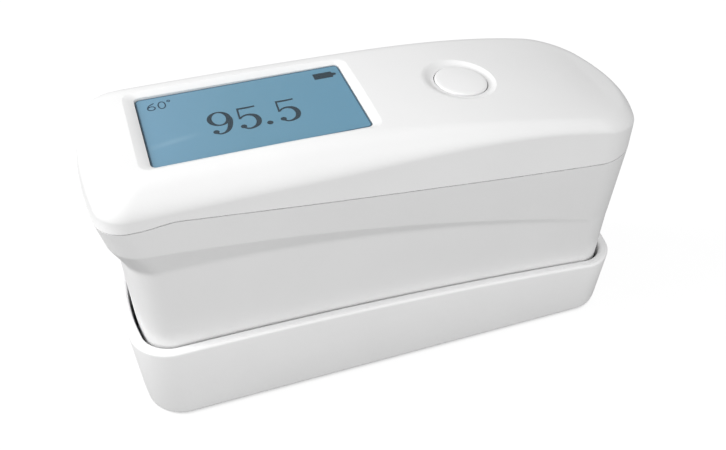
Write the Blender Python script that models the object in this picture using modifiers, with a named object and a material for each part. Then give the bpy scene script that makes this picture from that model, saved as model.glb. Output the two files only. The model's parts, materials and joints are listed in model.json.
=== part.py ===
"""Pocket gloss meter standing in its calibration base.

Frame: the origin is the centre of the base's underside, +X runs along the meter towards the button,
-Y is the front flank and +Z is up. All sizes are in metres.

The outer shells are lofts. A section is a plan outline (a rounded rectangle with bowed ends) whose
height follows a curve along X, and each shell is a stack of such sections with a wall thickness.
"""

import math

import bmesh
import bpy
from mathutils import Matrix, Vector

# Sizes of the whole, which the others follow: the head's length between the corners of its plan, its width,
# its height and how far it stands to the left of the base
HEAD_LENGTH = 0.1027
HEAD_WIDTH = 0.0376
TOP_Z = 0.0616
HEAD_SHIFT = 0.00285

# Clearances, and how far cutters run past what they cut
SEAT_GAP = 0.0003
SLIDE_GAP = 0.00025
SCREW_GAP = 0.00015
WINDOW_GAP = 0.00015
OVERCUT = 0.0010

# Calibration base, longer and narrower than the head by twice these steps
BASE_STEP_LENGTH = 0.0003
BASE_STEP_WIDTH = 0.0017
BASE_CORNER = 0.0060
BASE_BOW = 0.00245
BASE_LEAN = 0.0486
BASE_WALL = 0.0020
RIM_SHARE = 0.3143
BODY_LEAN_SHARE = 0.8
RIM_FALL = 0.0534
RIM_SAG = 0.001525
RIM_ROUND = 0.0006
TRAY_FLOOR_Z = 0.0085
TRAY_FLOOR_THICKNESS = 0.0020
PAD_THICKNESS = 0.0009
PAD_PROUD = 0.0004
PAD_MARGIN = 0.0030
BASE_PLATE_THICKNESS = 0.0020
BASE_SCREW_INSET = 0.00765
BASE_SCREW_BORDER = 0.0076
TILE_LENGTH = 0.0400
TILE_WIDTH = 0.0200
TILE_THICKNESS = 0.0030
TILE_LEDGE = 0.0008
TILE_CORNER = 0.0010
TILE_EDGE = 0.0002
TILE_FENCE = 0.0012
TILE_PAD_INSET = 0.0020

# Shells of the meter
BODY_GAP = 0.00035
SHELL_WALL = 0.0018
HEAD_CORNER_LEFT = 0.0047
HEAD_CORNER_RIGHT = 0.0064
HEAD_BOW_LEFT = 0.0019
HEAD_BOW_RIGHT = 0.0068

# The curved edges have their sag or rise in full at this share of the head's length from the middle
CURVE_SHARE = 0.48685

# Undercut step on the flanks: the brow is its upper edge and the waist its lower edge
WAIST_BELOW_TOP = 0.0238
WAIST_SLOPE = -0.1444
WAIST_SAG = 0.00425
WAIST_STEP_LEFT = 0.0023
WAIST_STEP_RIGHT = 0.0018
WAIST_INSET_LEFT = 0.0038
WAIST_REACH_RIGHT = 0.0010
WAIST_CORNER_LEFT = 0.0050
WAIST_BOW_LEFT = 0.0024
WAIST_BOW_RIGHT = 0.0042
BROW_BELOW_TOP = 0.0214
BROW_SLOPE = -0.1994
BROW_SAG = 0.0030
BROW_MARGIN = 0.0004
BROW_STEP_LEFT = 0.0004
BROW_STEP_RIGHT = 0.0017
BROW_INSET_LEFT = 0.0012
FLANK_START = 0.0409
FLANK_END = 0.9172

# Parting line between the housing and the cover
PARTING_BELOW_TOP = 0.01198
PARTING_SLOPE = -0.1044
PARTING_RISE = 0.000525
PARTING_DROP = 0.00057
PARTING_STEP_SHARE = 0.12366
PARTING_STEP_RUN = 0.0060
PARTING_GAP = 0.0003
PARTING_SPARE = 0.0020
LIP_HEIGHT = 0.0012
LIP_ROOT = 0.0022
LIP_THICKNESS = 0.0009

# Hook at the cover's left end, which grips under a ledge of the housing
HOOK_WIDTH = 0.0100
HOOK_THICKNESS = 0.0012
HOOK_INSET = 0.0047
LEDGE_DROP = 0.0034
LEDGE_HEIGHT = 0.0010
FOOT_REACH = 0.0013

# Cover
TOP_FALL_START = 0.27946
TOP_FALL_SHARE = 0.77897
TOP_FALL = 0.00704
TOP_FALL_END = 0.0024
TOP_CROWN = 0.0005
CROWN_BORDER = 0.0058
EDGE_ROUND_LEFT = 0.0055
EDGE_ROUND_RIGHT = 0.0023
EDGE_ROUND_START = 0.3330
EDGE_ROUND_END = 0.9172
SIDE_LEAN_LEFT = 0.00046
SIDE_LEAN_RIGHT = 0.0014
END_LEAN_LEFT = 0.0004
END_LEAN_RIGHT = -0.0002

# Display
SCREEN_SHARE = 0.3895
SCREEN_INSET_SHARE = 0.1038
SCREEN_BORDER = 0.00775
SCREEN_CORNER = 0.0009
SCREEN_SINK = 0.00094
FRAME_LEFT = 0.0012
FRAME_RIGHT = 0.0018
FRAME_SIDE = 0.0013
FRAME_CORNER = 0.0020
WINDOW_THICKNESS = 0.0016
LCD_MARGIN = 0.0016
LCD_THICKNESS = 0.0018
BACKLIGHT_THICKNESS = 0.0025
LCD_FRAME_WALL = 0.0010
LCD_STAND_SHARE = 0.0812
FLEX_BORDER = 0.00565
FLEX_THICKNESS = 0.0003
FLEX_REACH = 0.0017
FLEX_BEND = 0.0008
FLEX_FOOT = 0.0016
FLEX_LIFT = 0.0011
CONNECTOR_LENGTH = 0.0030
CONNECTOR_BORDER = 0.0010
CONNECTOR_HEIGHT = 0.0014
SMALL_EDGE = 0.0002

# Button, on an axis square to the falling top surface
BUTTON_INSET_SHARE = 0.2889
BUTTON_TILT = math.radians(5.5)
DISH_RADIUS = 0.00772
DISH_DEPTH = 0.0006
CAP_RADIUS = 0.0054
CAP_DOME = 0.0002
FLANGE_RADIUS = 0.0066
FLANGE_THICKNESS = 0.0008
STEM_RADIUS = 0.0020
STEM_GAP = 0.0005
CAP_EDGE = 0.0003
CAP_RISE = 0.0002
BUTTON_PLAY = 0.0002
BUTTON_TRAVEL = 0.0004
SWITCH_SIDE = 0.0060
SWITCH_HEIGHT = 0.0035
SWITCH_EDGE = 0.0003
PLUNGER_RADIUS = 0.0017
PLUNGER_PROUD = 0.0012
PLUNGER_FLOOR = 0.0012

# Main board
BOARD_THICKNESS = 0.0016
BOARD_CORNER = 0.0020
BOARD_INSET_LEFT = 0.0066
BOARD_INSET_RIGHT = 0.0113
BOARD_BORDER = 0.0048
CHIP_SIDE = 0.0100
CHIP_HEIGHT = 0.0014
BOARD_BOSS_PAST_LCD = 0.00594
BOARD_BOSS_INSET = 0.0057
BOARD_BOSS_BORDER = 0.0032

# Sole plate and measuring port
SOLE_THICKNESS = 0.0020
PORT_LENGTH = 0.0290
PORT_WIDTH = 0.0110
SOLE_SCREW_INSET = 0.01715
SOLE_SCREW_BORDER = 0.0057

# Optical block, with both channels at the measuring angle from the vertical; shares are of an arm's length
MEASURING_ANGLE = math.radians(60.0)
BLOCK_WIDTH = 0.0160
BLOCK_EDGE = 0.0005
CHANNEL_RADIUS = 0.0045
CHANNEL_WALL = 0.0025
VALLEY_SHARE = 0.48
BLOCK_SCREW_PAST_PORT = 0.0017
BLOCK_SCREW_BORDER = 0.0025
LENS_SHARE = 0.500
LENS_THICKNESS = 0.0022
SLIT_SHARE = 0.720
SLIT_THICKNESS = 0.0010
SLIT_LENGTH = 0.0040
SLIT_WIDTH = 0.0012
LAMP_RADIUS = 0.0025
LAMP_LENGTH = 0.0055
DIODE_RADIUS = 0.0027
DIODE_LENGTH = 0.0030
SENSOR_BOARD_WIDTH = 0.0150
SENSOR_BOARD_HEIGHT = 0.0120
SENSOR_BOARD_THICKNESS = 0.0012

# Battery
BATTERY_SHARE = 0.4000
BATTERY_BORDER = 0.0078
BATTERY_HEIGHT_SHARE = 0.1136
BATTERY_EDGE = 0.0012
BATTERY_ROOM_SHARE = 0.0357
BRACKET_SPARE = 0.0004
BRACKET_THICKNESS = 0.0012
BRACKET_LIP = 0.0030

# Charging socket
SOCKET_WIDTH = 0.0076
SOCKET_HEIGHT = 0.0027
SOCKET_LENGTH = 0.0062
SOCKET_WALL = 0.0004
SOCKET_BACK = 0.0012
SOCKET_EDGE = 0.0005
SOCKET_CUT = 0.0100
SOCKET_BELOW_BOARD = 0.0066
SOCKET_BOARD_SHARE = 0.3723
SOCKET_BOARD_LENGTH = 0.0085
SOCKET_BOARD_THICKNESS = 0.0010
SOCKET_LEDGE = 0.0026
LEDGE_CLEAR = 0.0009
LEDGE_THICKNESS = 0.0014
SOCKET_SINK = 0.0004

# Screws, posts and leads
SCREW_RADIUS = 0.0010
SCREW_HEAD_RADIUS = 0.0019
SCREW_HEAD_HEIGHT = 0.0012
SCREW_CLEAR = 0.0100
POST_RADIUS = 0.0030
POST_INSET = 0.0042
POST_DROP = 0.0060
POST_SEAT = 0.0030
POST_SHARE = 0.279
BOSS_RADIUS = 0.0023
BOSS_DEPTH = 0.0050
SCREW_SINK = 0.00135
SCREW_SKIN = 0.0012
LEAD_RADIUS = 0.0007
LEAD_START = 0.0015
LEAD_BOW = 0.0006
LEAD_PLUG_INSET = 0.0027
BATTERY_PLUG_REACH = 0.0045
PLUG_SIZE = (0.0040, 0.0030, 0.0025)

# Facets
END_STEPS = 3
CORNER_STEPS = 5
SIDE_STEPS = 12
EDGE_STEPS = 4
CAP_STRIPS = 7
ROUND_STEPS = 18
SCREW_STEPS = 10

MODEL = "gloss_meter"


# Scene, materials and modifiers


def clear_scene():
    for old in list(bpy.data.objects):
        bpy.data.objects.remove(old, do_unlink=True)


def new_collection(name):
    group = bpy.data.collections.new(name)
    bpy.context.scene.collection.children.link(group)
    return group


def material(name, colour, roughness, metallic=0.0):
    found = bpy.data.materials.get(name)
    if found:
        return found
    made = bpy.data.materials.new(name)
    made.use_nodes = True
    shader = made.node_tree.nodes["Principled BSDF"]
    shader.inputs["Base Color"].default_value = (*colour, 1.0)
    shader.inputs["Roughness"].default_value = roughness
    shader.inputs["Metallic"].default_value = metallic
    made.diffuse_color = (*colour, 1.0)
    return made


def white_plastic():
    return material("white_plastic", (0.86, 0.86, 0.86), 0.42)


def black_plastic():
    return material("black_plastic", (0.02, 0.02, 0.02), 0.6)


def circuit_board():
    return material("circuit_board", (0.02, 0.16, 0.07), 0.5)


def steel():
    return material("steel", (0.55, 0.55, 0.56), 0.3, 1.0)


def clear_glass():
    return material("clear_glass", (0.8, 0.85, 0.87), 0.05)


def finish(mesh, name, look, group, smooth_angle=40.0):
    """Make an object of a mesh, with its material and smooth shading."""
    mesh.name = name
    mesh.materials.append(look)
    mesh.shade_smooth()
    mesh.set_sharp_from_angle(angle=math.radians(smooth_angle))
    piece = bpy.data.objects.new(name, mesh)
    group.objects.link(piece)
    return piece


def mesh_of(bm):
    bmesh.ops.recalc_face_normals(bm, faces=bm.faces)
    mesh = bpy.data.meshes.new("mesh")
    bm.to_mesh(mesh)
    bm.free()
    return mesh


def as_cutter(piece):
    piece.hide_render = True
    piece.display_type = "WIRE"
    return piece


def boolean(piece, tool, operation):
    step = piece.modifiers.new(tool.name, "BOOLEAN")
    step.operation = operation
    step.solver = "EXACT"
    step.object = tool
    return piece


def cut(piece, *tools):
    for tool in tools:
        boolean(piece, tool, "DIFFERENCE")
    return piece


def join(piece, *tools):
    for tool in tools:
        boolean(piece, tool, "UNION")
    return piece


def thicken(piece, wall):
    """Give an open surface its wall, inwards from its outer face."""
    step = piece.modifiers.new("wall", "SOLIDIFY")
    step.thickness = wall
    step.offset = -1.0
    step.use_even_offset = True
    return piece


def bevel(piece, width, segments=2, angle=50.0):
    step = piece.modifiers.new("edge", "BEVEL")
    step.width = width
    step.segments = segments
    step.limit_method = "ANGLE"
    step.angle_limit = math.radians(angle)
    return piece


# Shapes


def clamp01(value):
    return min(max(value, 0.0), 1.0)


def smoothstep(value, start, end):
    t = clamp01((value - start) / (end - start))
    return t * t * (3.0 - 2.0 * t)


def mix(a, b, t):
    return a + (b - a) * t


def head_share(x):
    """Share of the way along the head, 0 at its left end and 1 at its right end."""
    return (x - HEAD_LEFT) / HEAD_LENGTH


def along_flank(x):
    """Share of the way along the undercut step of the flank."""
    return clamp01((head_share(x) - FLANK_START) / (FLANK_END - FLANK_START))


def plan(left, right, half_width, corner_left, corner_right, bow_left, bow_right):
    """Plan outline, counter-clockwise from the left apex, its back half mirroring its front half."""
    front = []
    for i in range(END_STEPS):
        front.append((left, -(half_width - corner_left) * i / END_STEPS))
    for i in range(CORNER_STEPS):
        turn = math.pi + 0.5 * math.pi * i / CORNER_STEPS
        y = -half_width + corner_left * (1.0 + math.sin(turn))
        front.append((left + corner_left * (1.0 + math.cos(turn)), y))
    side = right - corner_right - left - corner_left
    for i in range(SIDE_STEPS):
        front.append((left + corner_left + side * i / SIDE_STEPS, -half_width))
    for i in range(CORNER_STEPS):
        turn = 1.5 * math.pi + 0.5 * math.pi * i / CORNER_STEPS
        y = -half_width + corner_right * (1.0 + math.sin(turn))
        front.append((right - corner_right * (1.0 - math.cos(turn)), y))
    for i in range(END_STEPS + 1):
        front.append((right, -(half_width - corner_right) * (1.0 - i / END_STEPS)))
    middle = 0.5 * (left + right)
    reach = 0.5 * (right - left)
    bowed = []
    for x, y in front:
        u = (x - middle) / reach
        bow = bow_right if u > 0.0 else bow_left
        bowed.append((x + bow * u * (1.0 - (y / half_width) ** 2), y))
    back = [(x, -y) for x, y in reversed(bowed[1:-1])]
    return bowed + back


def section(outline, height):
    """Plan outline lifted to a height, which may be a function of X."""
    if callable(height):
        return [Vector((x, y, height(x))) for x, y in outline]
    return [Vector((x, y, height)) for x, y in outline]


def widened(outline, half_width, new_half_width):
    """Plan outline with its Y scaled so that its sides reach a half width that is a function of X."""
    return [(x, y / half_width * new_half_width(x)) for x, y in outline]


def loft(bm, sections):
    """Skin a stack of like sections, lowest first, and return the rows of vertices."""
    rows = [[bm.verts.new(point) for point in ring] for ring in sections]
    count = len(rows[0])
    for low, high in zip(rows, rows[1:]):
        for i in range(count):
            j = (i + 1) % count
            bm.faces.new((low[i], low[j], high[j], high[i]))
    return rows


def stack(name, sections, look, group):
    """Solid skinned over a stack of like sections, lowest first, with flat ends."""
    bm = bmesh.new()
    rows = loft(bm, sections)
    bm.faces.new(list(reversed(rows[0])))
    bm.faces.new(rows[-1])
    return finish(mesh_of(bm), name, look, group)


def prism(name, outline, low, high, look, group):
    """Upright solid of a plan outline."""
    return stack(name, [section(outline, low), section(outline, high)], look, group)


def circle(radius, x, y, steps=ROUND_STEPS):
    return [
        (x + radius * math.cos(2.0 * math.pi * i / steps), y + radius * math.sin(2.0 * math.pi * i / steps))
        for i in range(steps)
    ]


def peg(name, x, y, radius, low, high, tools, steps=ROUND_STEPS):
    """Upright round post or hole, for a Boolean."""
    return as_cutter(prism(name, circle(radius, x, y, steps), low, high, white_plastic(), tools))


def box(name, centre, size, look, group, turn=None):
    bm = bmesh.new()
    bmesh.ops.create_cube(bm, size=1.0)
    bmesh.ops.scale(bm, vec=size, verts=bm.verts)
    piece = finish(mesh_of(bm), name, look, group)
    piece.matrix_world = Matrix.Translation(centre) @ (turn or Matrix.Identity(4))
    return piece


def turned(name, profile, place, look, group, steps=ROUND_STEPS):
    """Solid turned about its own Z from a profile of (radius, height), top to bottom."""
    bm = bmesh.new()
    points = [bm.verts.new((radius, 0.0, height)) for radius, height in profile]
    for a, b in zip(points, points[1:]):
        bm.edges.new((a, b))
    mesh = bpy.data.meshes.new(name)
    bm.to_mesh(mesh)
    bm.free()
    mesh.materials.append(look)
    piece = bpy.data.objects.new(name, mesh)
    group.objects.link(piece)
    step = piece.modifiers.new("turn", "SCREW")
    step.axis = "Z"
    step.steps = steps
    step.render_steps = steps
    step.use_merge_vertices = True
    step.merge_threshold = 0.00001
    step.use_smooth_shade = True
    piece.matrix_world = place
    return piece


def rod(name, radius, low, high, place, look, group, steps=ROUND_STEPS):
    return turned(name, [(0.0, high), (radius, high), (radius, low), (0.0, low)], place, look, group, steps)


def tube_path(name, points, radius, look, group):
    """Lead that runs through the given points on a smooth curve, as a closed tube."""
    route = smooth_route([Vector(p) for p in points])
    curve = bpy.data.curves.new(name, "CURVE")
    curve.dimensions = "3D"
    curve.bevel_depth = radius
    curve.bevel_resolution = 1
    curve.use_fill_caps = True
    spline = curve.splines.new("POLY")
    spline.points.add(len(route) - 1)
    for knot, point in zip(spline.points, route):
        knot.co = (*point, 1.0)
    piece = bpy.data.objects.new(name, curve)
    curve.materials.append(look)
    group.objects.link(piece)
    return piece


def smooth_route(points, pieces=3):
    """Points read from a Catmull-Rom curve through the route's own points."""
    padded = [2.0 * points[0] - points[1]] + points + [2.0 * points[-1] - points[-2]]
    route = []
    for a, b, c, d in zip(padded, padded[1:], padded[2:], padded[3:]):
        for i in range(pieces):
            t = i / pieces
            near = 2.0 * b + (c - a) * t
            far = (2.0 * a - 5.0 * b + 4.0 * c - d) * t * t + (3.0 * b - a - 3.0 * c + d) * t * t * t
            route.append(0.5 * (near + far))
    route.append(points[-1])
    return route


def rounded_rectangle(length, width, corner, centre=(0.0, 0.0), steps=4):
    """Plan outline of a rounded rectangle, counter-clockwise."""
    outline = []
    for quarter, (sx, sy) in enumerate(((1, 1), (-1, 1), (-1, -1), (1, -1))):
        cx = centre[0] + sx * (0.5 * length - corner)
        cy = centre[1] + sy * (0.5 * width - corner)
        for i in range(steps + 1):
            turn = 0.5 * math.pi * (quarter + i / steps)
            outline.append((cx + corner * math.cos(turn), cy + corner * math.sin(turn)))
    return outline


# Heights of the curved edges, as functions of X


def rim_z(x):
    return RIM_HEIGHT - RIM_FALL * x - RIM_SAG * (x / CURVE_REACH) ** 2


def parting_z(x):
    def run(at):
        return TOP_Z - PARTING_BELOW_TOP + PARTING_SLOPE * at + PARTING_RISE * (at / CURVE_REACH) ** 2

    if x >= PARTING_STEP_X:
        return run(x)
    high = run(PARTING_STEP_X)
    return mix(high - PARTING_DROP, high, smoothstep(x, PARTING_STEP_X - PARTING_STEP_RUN, PARTING_STEP_X))


def waist_z(x):
    return TOP_Z - WAIST_BELOW_TOP + WAIST_SLOPE * x - WAIST_SAG * (x / CURVE_REACH) ** 2


def brow_z(x):
    run = TOP_Z - BROW_BELOW_TOP + BROW_SLOPE * x - BROW_SAG * (x / CURVE_REACH) ** 2
    return max(run, waist_z(x) + BROW_MARGIN)


def top_z(x):
    past = max(head_share(x) - TOP_FALL_START, 0.0) / TOP_FALL_SHARE
    return TOP_Z - TOP_FALL * past**2 - TOP_FALL_END * past**4


def crown_drop(x, y):
    """How far the top surface lies below its ridge line, all of it at the sides and the ends."""
    u = (2.0 * x - HEAD_LEFT - HEAD_RIGHT) / (HEAD_RIGHT - HEAD_LEFT)
    v = y / (0.5 * HEAD_WIDTH - CROWN_BORDER)
    return TOP_CROWN * (1.0 - (1.0 - min(v * v, 1.0)) * (1.0 - min(u**6, 1.0)))


def edge_round(x):
    share = smoothstep(head_share(x), EDGE_ROUND_START, EDGE_ROUND_END)
    return mix(EDGE_ROUND_LEFT, EDGE_ROUND_RIGHT, share)


# Plan outlines of the base and the body


def base_plan(z, inset=0.0):
    """Outline of the calibration base at a height, moved inwards by an inset."""
    grow = BASE_LEAN * z - inset
    reach = 0.5 * BASE_LENGTH + grow
    corner = BASE_CORNER + grow
    return plan(-reach, reach, 0.5 * BASE_WIDTH + grow, corner, corner, BASE_BOW, BASE_BOW)


def waist_plan():
    half = 0.5 * HEAD_WIDTH
    left = HEAD_LEFT + WAIST_INSET_LEFT
    right = HEAD_RIGHT + WAIST_REACH_RIGHT
    outline = plan(left, right, half, WAIST_CORNER_LEFT, HEAD_CORNER_RIGHT, WAIST_BOW_LEFT, WAIST_BOW_RIGHT)
    return widened(outline, half, lambda x: half - mix(WAIST_STEP_LEFT, WAIST_STEP_RIGHT, along_flank(x)))


def brow_plan():
    half = 0.5 * HEAD_WIDTH
    left = HEAD_LEFT + BROW_INSET_LEFT
    right = HEAD_RIGHT + 0.3 * WAIST_REACH_RIGHT
    bow_right = 0.5 * (HEAD_BOW_RIGHT + WAIST_BOW_RIGHT)
    outline = plan(left, right, half, HEAD_CORNER_LEFT, HEAD_CORNER_RIGHT, HEAD_BOW_LEFT, bow_right)
    return widened(outline, half, lambda x: half - mix(BROW_STEP_LEFT, BROW_STEP_RIGHT, along_flank(x)))


def head_plan(inset_left=0.0, inset_right=0.0, inset_side=None):
    """Outline of the head, moved inwards at its ends and, as a function of X, at its sides."""
    half = 0.5 * HEAD_WIDTH
    outline = plan(
        HEAD_LEFT + inset_left,
        HEAD_RIGHT - inset_right,
        half,
        HEAD_CORNER_LEFT,
        HEAD_CORNER_RIGHT,
        HEAD_BOW_LEFT,
        HEAD_BOW_RIGHT,
    )
    if inset_side is None:
        return outline
    return widened(outline, half, lambda x: half - inset_side(x))


def body_plan(z, inset=0.0):
    """Outline of the lower body where it stands in the base, following the base's inner wall."""
    return base_plan(z, BASE_WALL + BODY_GAP + inset)


# Sizes and places worked out from the sizes above

HEAD_LEFT = -0.5 * HEAD_LENGTH - HEAD_SHIFT
HEAD_RIGHT = 0.5 * HEAD_LENGTH - HEAD_SHIFT
BASE_LENGTH = HEAD_LENGTH + 2.0 * BASE_STEP_LENGTH
BASE_WIDTH = HEAD_WIDTH - 2.0 * BASE_STEP_WIDTH
RIM_HEIGHT = RIM_SHARE * TOP_Z
CURVE_REACH = CURVE_SHARE * HEAD_LENGTH
PARTING_STEP_X = HEAD_LEFT + PARTING_STEP_SHARE * HEAD_LENGTH
HOOK_X = HEAD_LEFT - HEAD_BOW_LEFT + HOOK_INSET

BASE_PLATE_Z = PAD_THICKNESS + SEAT_GAP
BASE_PLATE_TOP_Z = BASE_PLATE_Z + BASE_PLATE_THICKNESS
TILE_TOP_Z = TRAY_FLOOR_Z - TILE_LEDGE - SEAT_GAP
TILE_Z = TILE_TOP_Z - TILE_THICKNESS
SAMPLE_Z = TRAY_FLOOR_Z
SOLE_Z = TRAY_FLOOR_Z + SEAT_GAP
SOLE_TOP_Z = SOLE_Z + SOLE_THICKNESS
BLOCK_Z = SOLE_TOP_Z + SEAT_GAP

BODY_END_X = 0.5 * BASE_LENGTH + BASE_LEAN * SOLE_TOP_Z - BASE_WALL - BODY_GAP - SHELL_WALL
POST_X = BODY_END_X - POST_INSET + POST_RADIUS
POST_Y = POST_SHARE * HEAD_WIDTH
POST_TOP_Z = parting_z(POST_X) - POST_DROP

SCREEN_LENGTH = SCREEN_SHARE * HEAD_LENGTH
SCREEN_WIDTH = HEAD_WIDTH - 2.0 * SCREEN_BORDER
SCREEN_X = HEAD_LEFT + SCREEN_INSET_SHARE * HEAD_LENGTH + 0.5 * SCREEN_LENGTH
SCREEN_Z = TOP_Z - SCREEN_SINK
WINDOW_Z = SCREEN_Z - WINDOW_THICKNESS
LCD_Z = WINDOW_Z - SEAT_GAP - LCD_THICKNESS
LCD_TOP_Z = LCD_Z + LCD_THICKNESS
LCD_LENGTH = SCREEN_LENGTH + 2.0 * LCD_MARGIN
LCD_WIDTH = SCREEN_WIDTH + 2.0 * LCD_MARGIN
LCD_RIGHT = SCREEN_X + 0.5 * LCD_LENGTH
BACKLIGHT_Z = LCD_Z - SEAT_GAP - BACKLIGHT_THICKNESS
FLEX_WIDTH = LCD_WIDTH - 2.0 * FLEX_BORDER

BOARD_TOP_Z = BACKLIGHT_Z - LCD_STAND_SHARE * TOP_Z
BOARD_Z = BOARD_TOP_Z - BOARD_THICKNESS
BOARD_LEFT = HEAD_LEFT + BOARD_INSET_LEFT
BOARD_RIGHT = HEAD_RIGHT - BOARD_INSET_RIGHT
BOARD_WIDTH = HEAD_WIDTH - 2.0 * BOARD_BORDER
BOARD_BOSS_XS = (LCD_RIGHT + BOARD_BOSS_PAST_LCD, BOARD_RIGHT - BOARD_BOSS_INSET)
BOARD_BOSS_Y = 0.5 * BOARD_WIDTH - BOARD_BOSS_BORDER

SWITCH_Z = BOARD_TOP_Z + SEAT_GAP
SWITCH_TOP_Z = SWITCH_Z + SWITCH_HEIGHT
PLUNGER_TOP_Z = SWITCH_TOP_Z + PLUNGER_PROUD
BUTTON_X = HEAD_RIGHT - BUTTON_INSET_SHARE * HEAD_LENGTH
BUTTON_SEAT_Z = top_z(BUTTON_X)
BUTTON_PLACE = Matrix.Translation((BUTTON_X, 0.0, BUTTON_SEAT_Z)) @ Matrix.Rotation(BUTTON_TILT, 4, "Y")
STEM_LENGTH = (BUTTON_SEAT_Z - PLUNGER_TOP_Z) / math.cos(BUTTON_TILT) - STEM_GAP
SWITCH_X = BUTTON_X - math.tan(BUTTON_TILT) * (BUTTON_SEAT_Z - PLUNGER_TOP_Z)

# The arms of the optical block reach as far as the battery above them and the posts at their ends allow
ARM_SINE = math.sin(MEASURING_ANGLE)
ARM_COSINE = math.cos(MEASURING_ANGLE)
ARM_HALF = CHANNEL_RADIUS + CHANNEL_WALL
BATTERY_THICKNESS = BATTERY_HEIGHT_SHARE * TOP_Z
BATTERY_ROOM = BATTERY_ROOM_SHARE * TOP_Z
ARM_ROOF_Z = BOARD_Z - BATTERY_ROOM - BATTERY_THICKNESS - BRACKET_THICKNESS - 2.0 * SEAT_GAP
ARM_END_X = POST_X - POST_RADIUS - 2.0 * SEAT_GAP - 0.5 * SENSOR_BOARD_HEIGHT * ARM_COSINE
ARM_LENGTH = min(
    (ARM_ROOF_Z - SAMPLE_Z - ARM_HALF * ARM_SINE) / ARM_COSINE,
    ARM_END_X / ARM_SINE - SEAT_GAP - SENSOR_BOARD_THICKNESS,
)
ARM_TOP_Z = SAMPLE_Z + ARM_LENGTH * ARM_COSINE + ARM_HALF * ARM_SINE
BLOCK_VALLEY_Z = mix(SAMPLE_Z, ARM_TOP_Z, VALLEY_SHARE)
SENSOR_BOARD_REACH = ARM_LENGTH + SEAT_GAP

BRACKET_Z = ARM_TOP_Z + SEAT_GAP
BRACKET_LENGTH = 2.0 * (ARM_LENGTH * ARM_SINE - ARM_HALF * ARM_COSINE + BRACKET_SPARE)
BATTERY_Z = BRACKET_Z + BRACKET_THICKNESS + SEAT_GAP
BATTERY_LENGTH = BATTERY_SHARE * HEAD_LENGTH
BATTERY_WIDTH = HEAD_WIDTH - 2.0 * BATTERY_BORDER

SOCKET_BOARD_Z = BOARD_Z - SOCKET_BELOW_BOARD
SOCKET_BOARD_WIDTH = SOCKET_BOARD_SHARE * HEAD_WIDTH
SOCKET_MID_Z = SOCKET_BOARD_Z - SEAT_GAP - 0.5 * SOCKET_HEIGHT
LEAD_PLUG_X = BOARD_RIGHT - LEAD_PLUG_INSET


# Screws


def screw(name, x, y, seat_z, length, group):
    """Screw driven from below, its head's bearing face just under a seat."""
    head = -SCREW_GAP
    profile = [
        (0.0, length),
        (SCREW_RADIUS, length),
        (SCREW_RADIUS, head),
        (SCREW_HEAD_RADIUS, head),
        (SCREW_HEAD_RADIUS, head - 0.6 * SCREW_HEAD_HEIGHT),
        (0.6 * SCREW_HEAD_RADIUS, head - SCREW_HEAD_HEIGHT),
        (0.0, head - SCREW_HEAD_HEIGHT),
    ]
    return turned(name, profile, Matrix.Translation((x, y, seat_z)), steel(), group, SCREW_STEPS)


def pilot(name, x, y, low, high, tools):
    return peg(name, x, y, SCREW_RADIUS + SCREW_GAP, low, high, tools, SCREW_STEPS)


def screw_seat(name, x, y, plate_z, seat_z, tools):
    """Clearance hole with a counterbore that opens downwards."""
    wide = circle(SCREW_HEAD_RADIUS + SEAT_GAP, x, y, SCREW_STEPS)
    narrow = circle(SCREW_RADIUS + SCREW_GAP, x, y, SCREW_STEPS)
    levels = [
        section(wide, plate_z - OVERCUT),
        section(wide, seat_z),
        section(narrow, seat_z),
        section(narrow, seat_z + SCREW_CLEAR),
    ]
    return as_cutter(stack(name, levels, steel(), tools))


def corners(x, y):
    return ((-x, -y), (x, -y), (x, y), (-x, y))


BASE_SCREWS = corners(0.5 * BASE_LENGTH - BASE_SCREW_INSET, 0.5 * BASE_WIDTH - BASE_SCREW_BORDER)
SOLE_SCREWS = corners(0.5 * BASE_LENGTH - SOLE_SCREW_INSET, 0.5 * BASE_WIDTH - SOLE_SCREW_BORDER)
BLOCK_SCREWS = corners(0.5 * PORT_LENGTH + BLOCK_SCREW_PAST_PORT, 0.5 * BLOCK_WIDTH - BLOCK_SCREW_BORDER)
COVER_SCREWS = ((POST_X, -POST_Y), (POST_X, POST_Y))
BOARD_SCREWS = tuple((x, y) for x in BOARD_BOSS_XS for y in (-BOARD_BOSS_Y, BOARD_BOSS_Y))


# Calibration base


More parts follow.
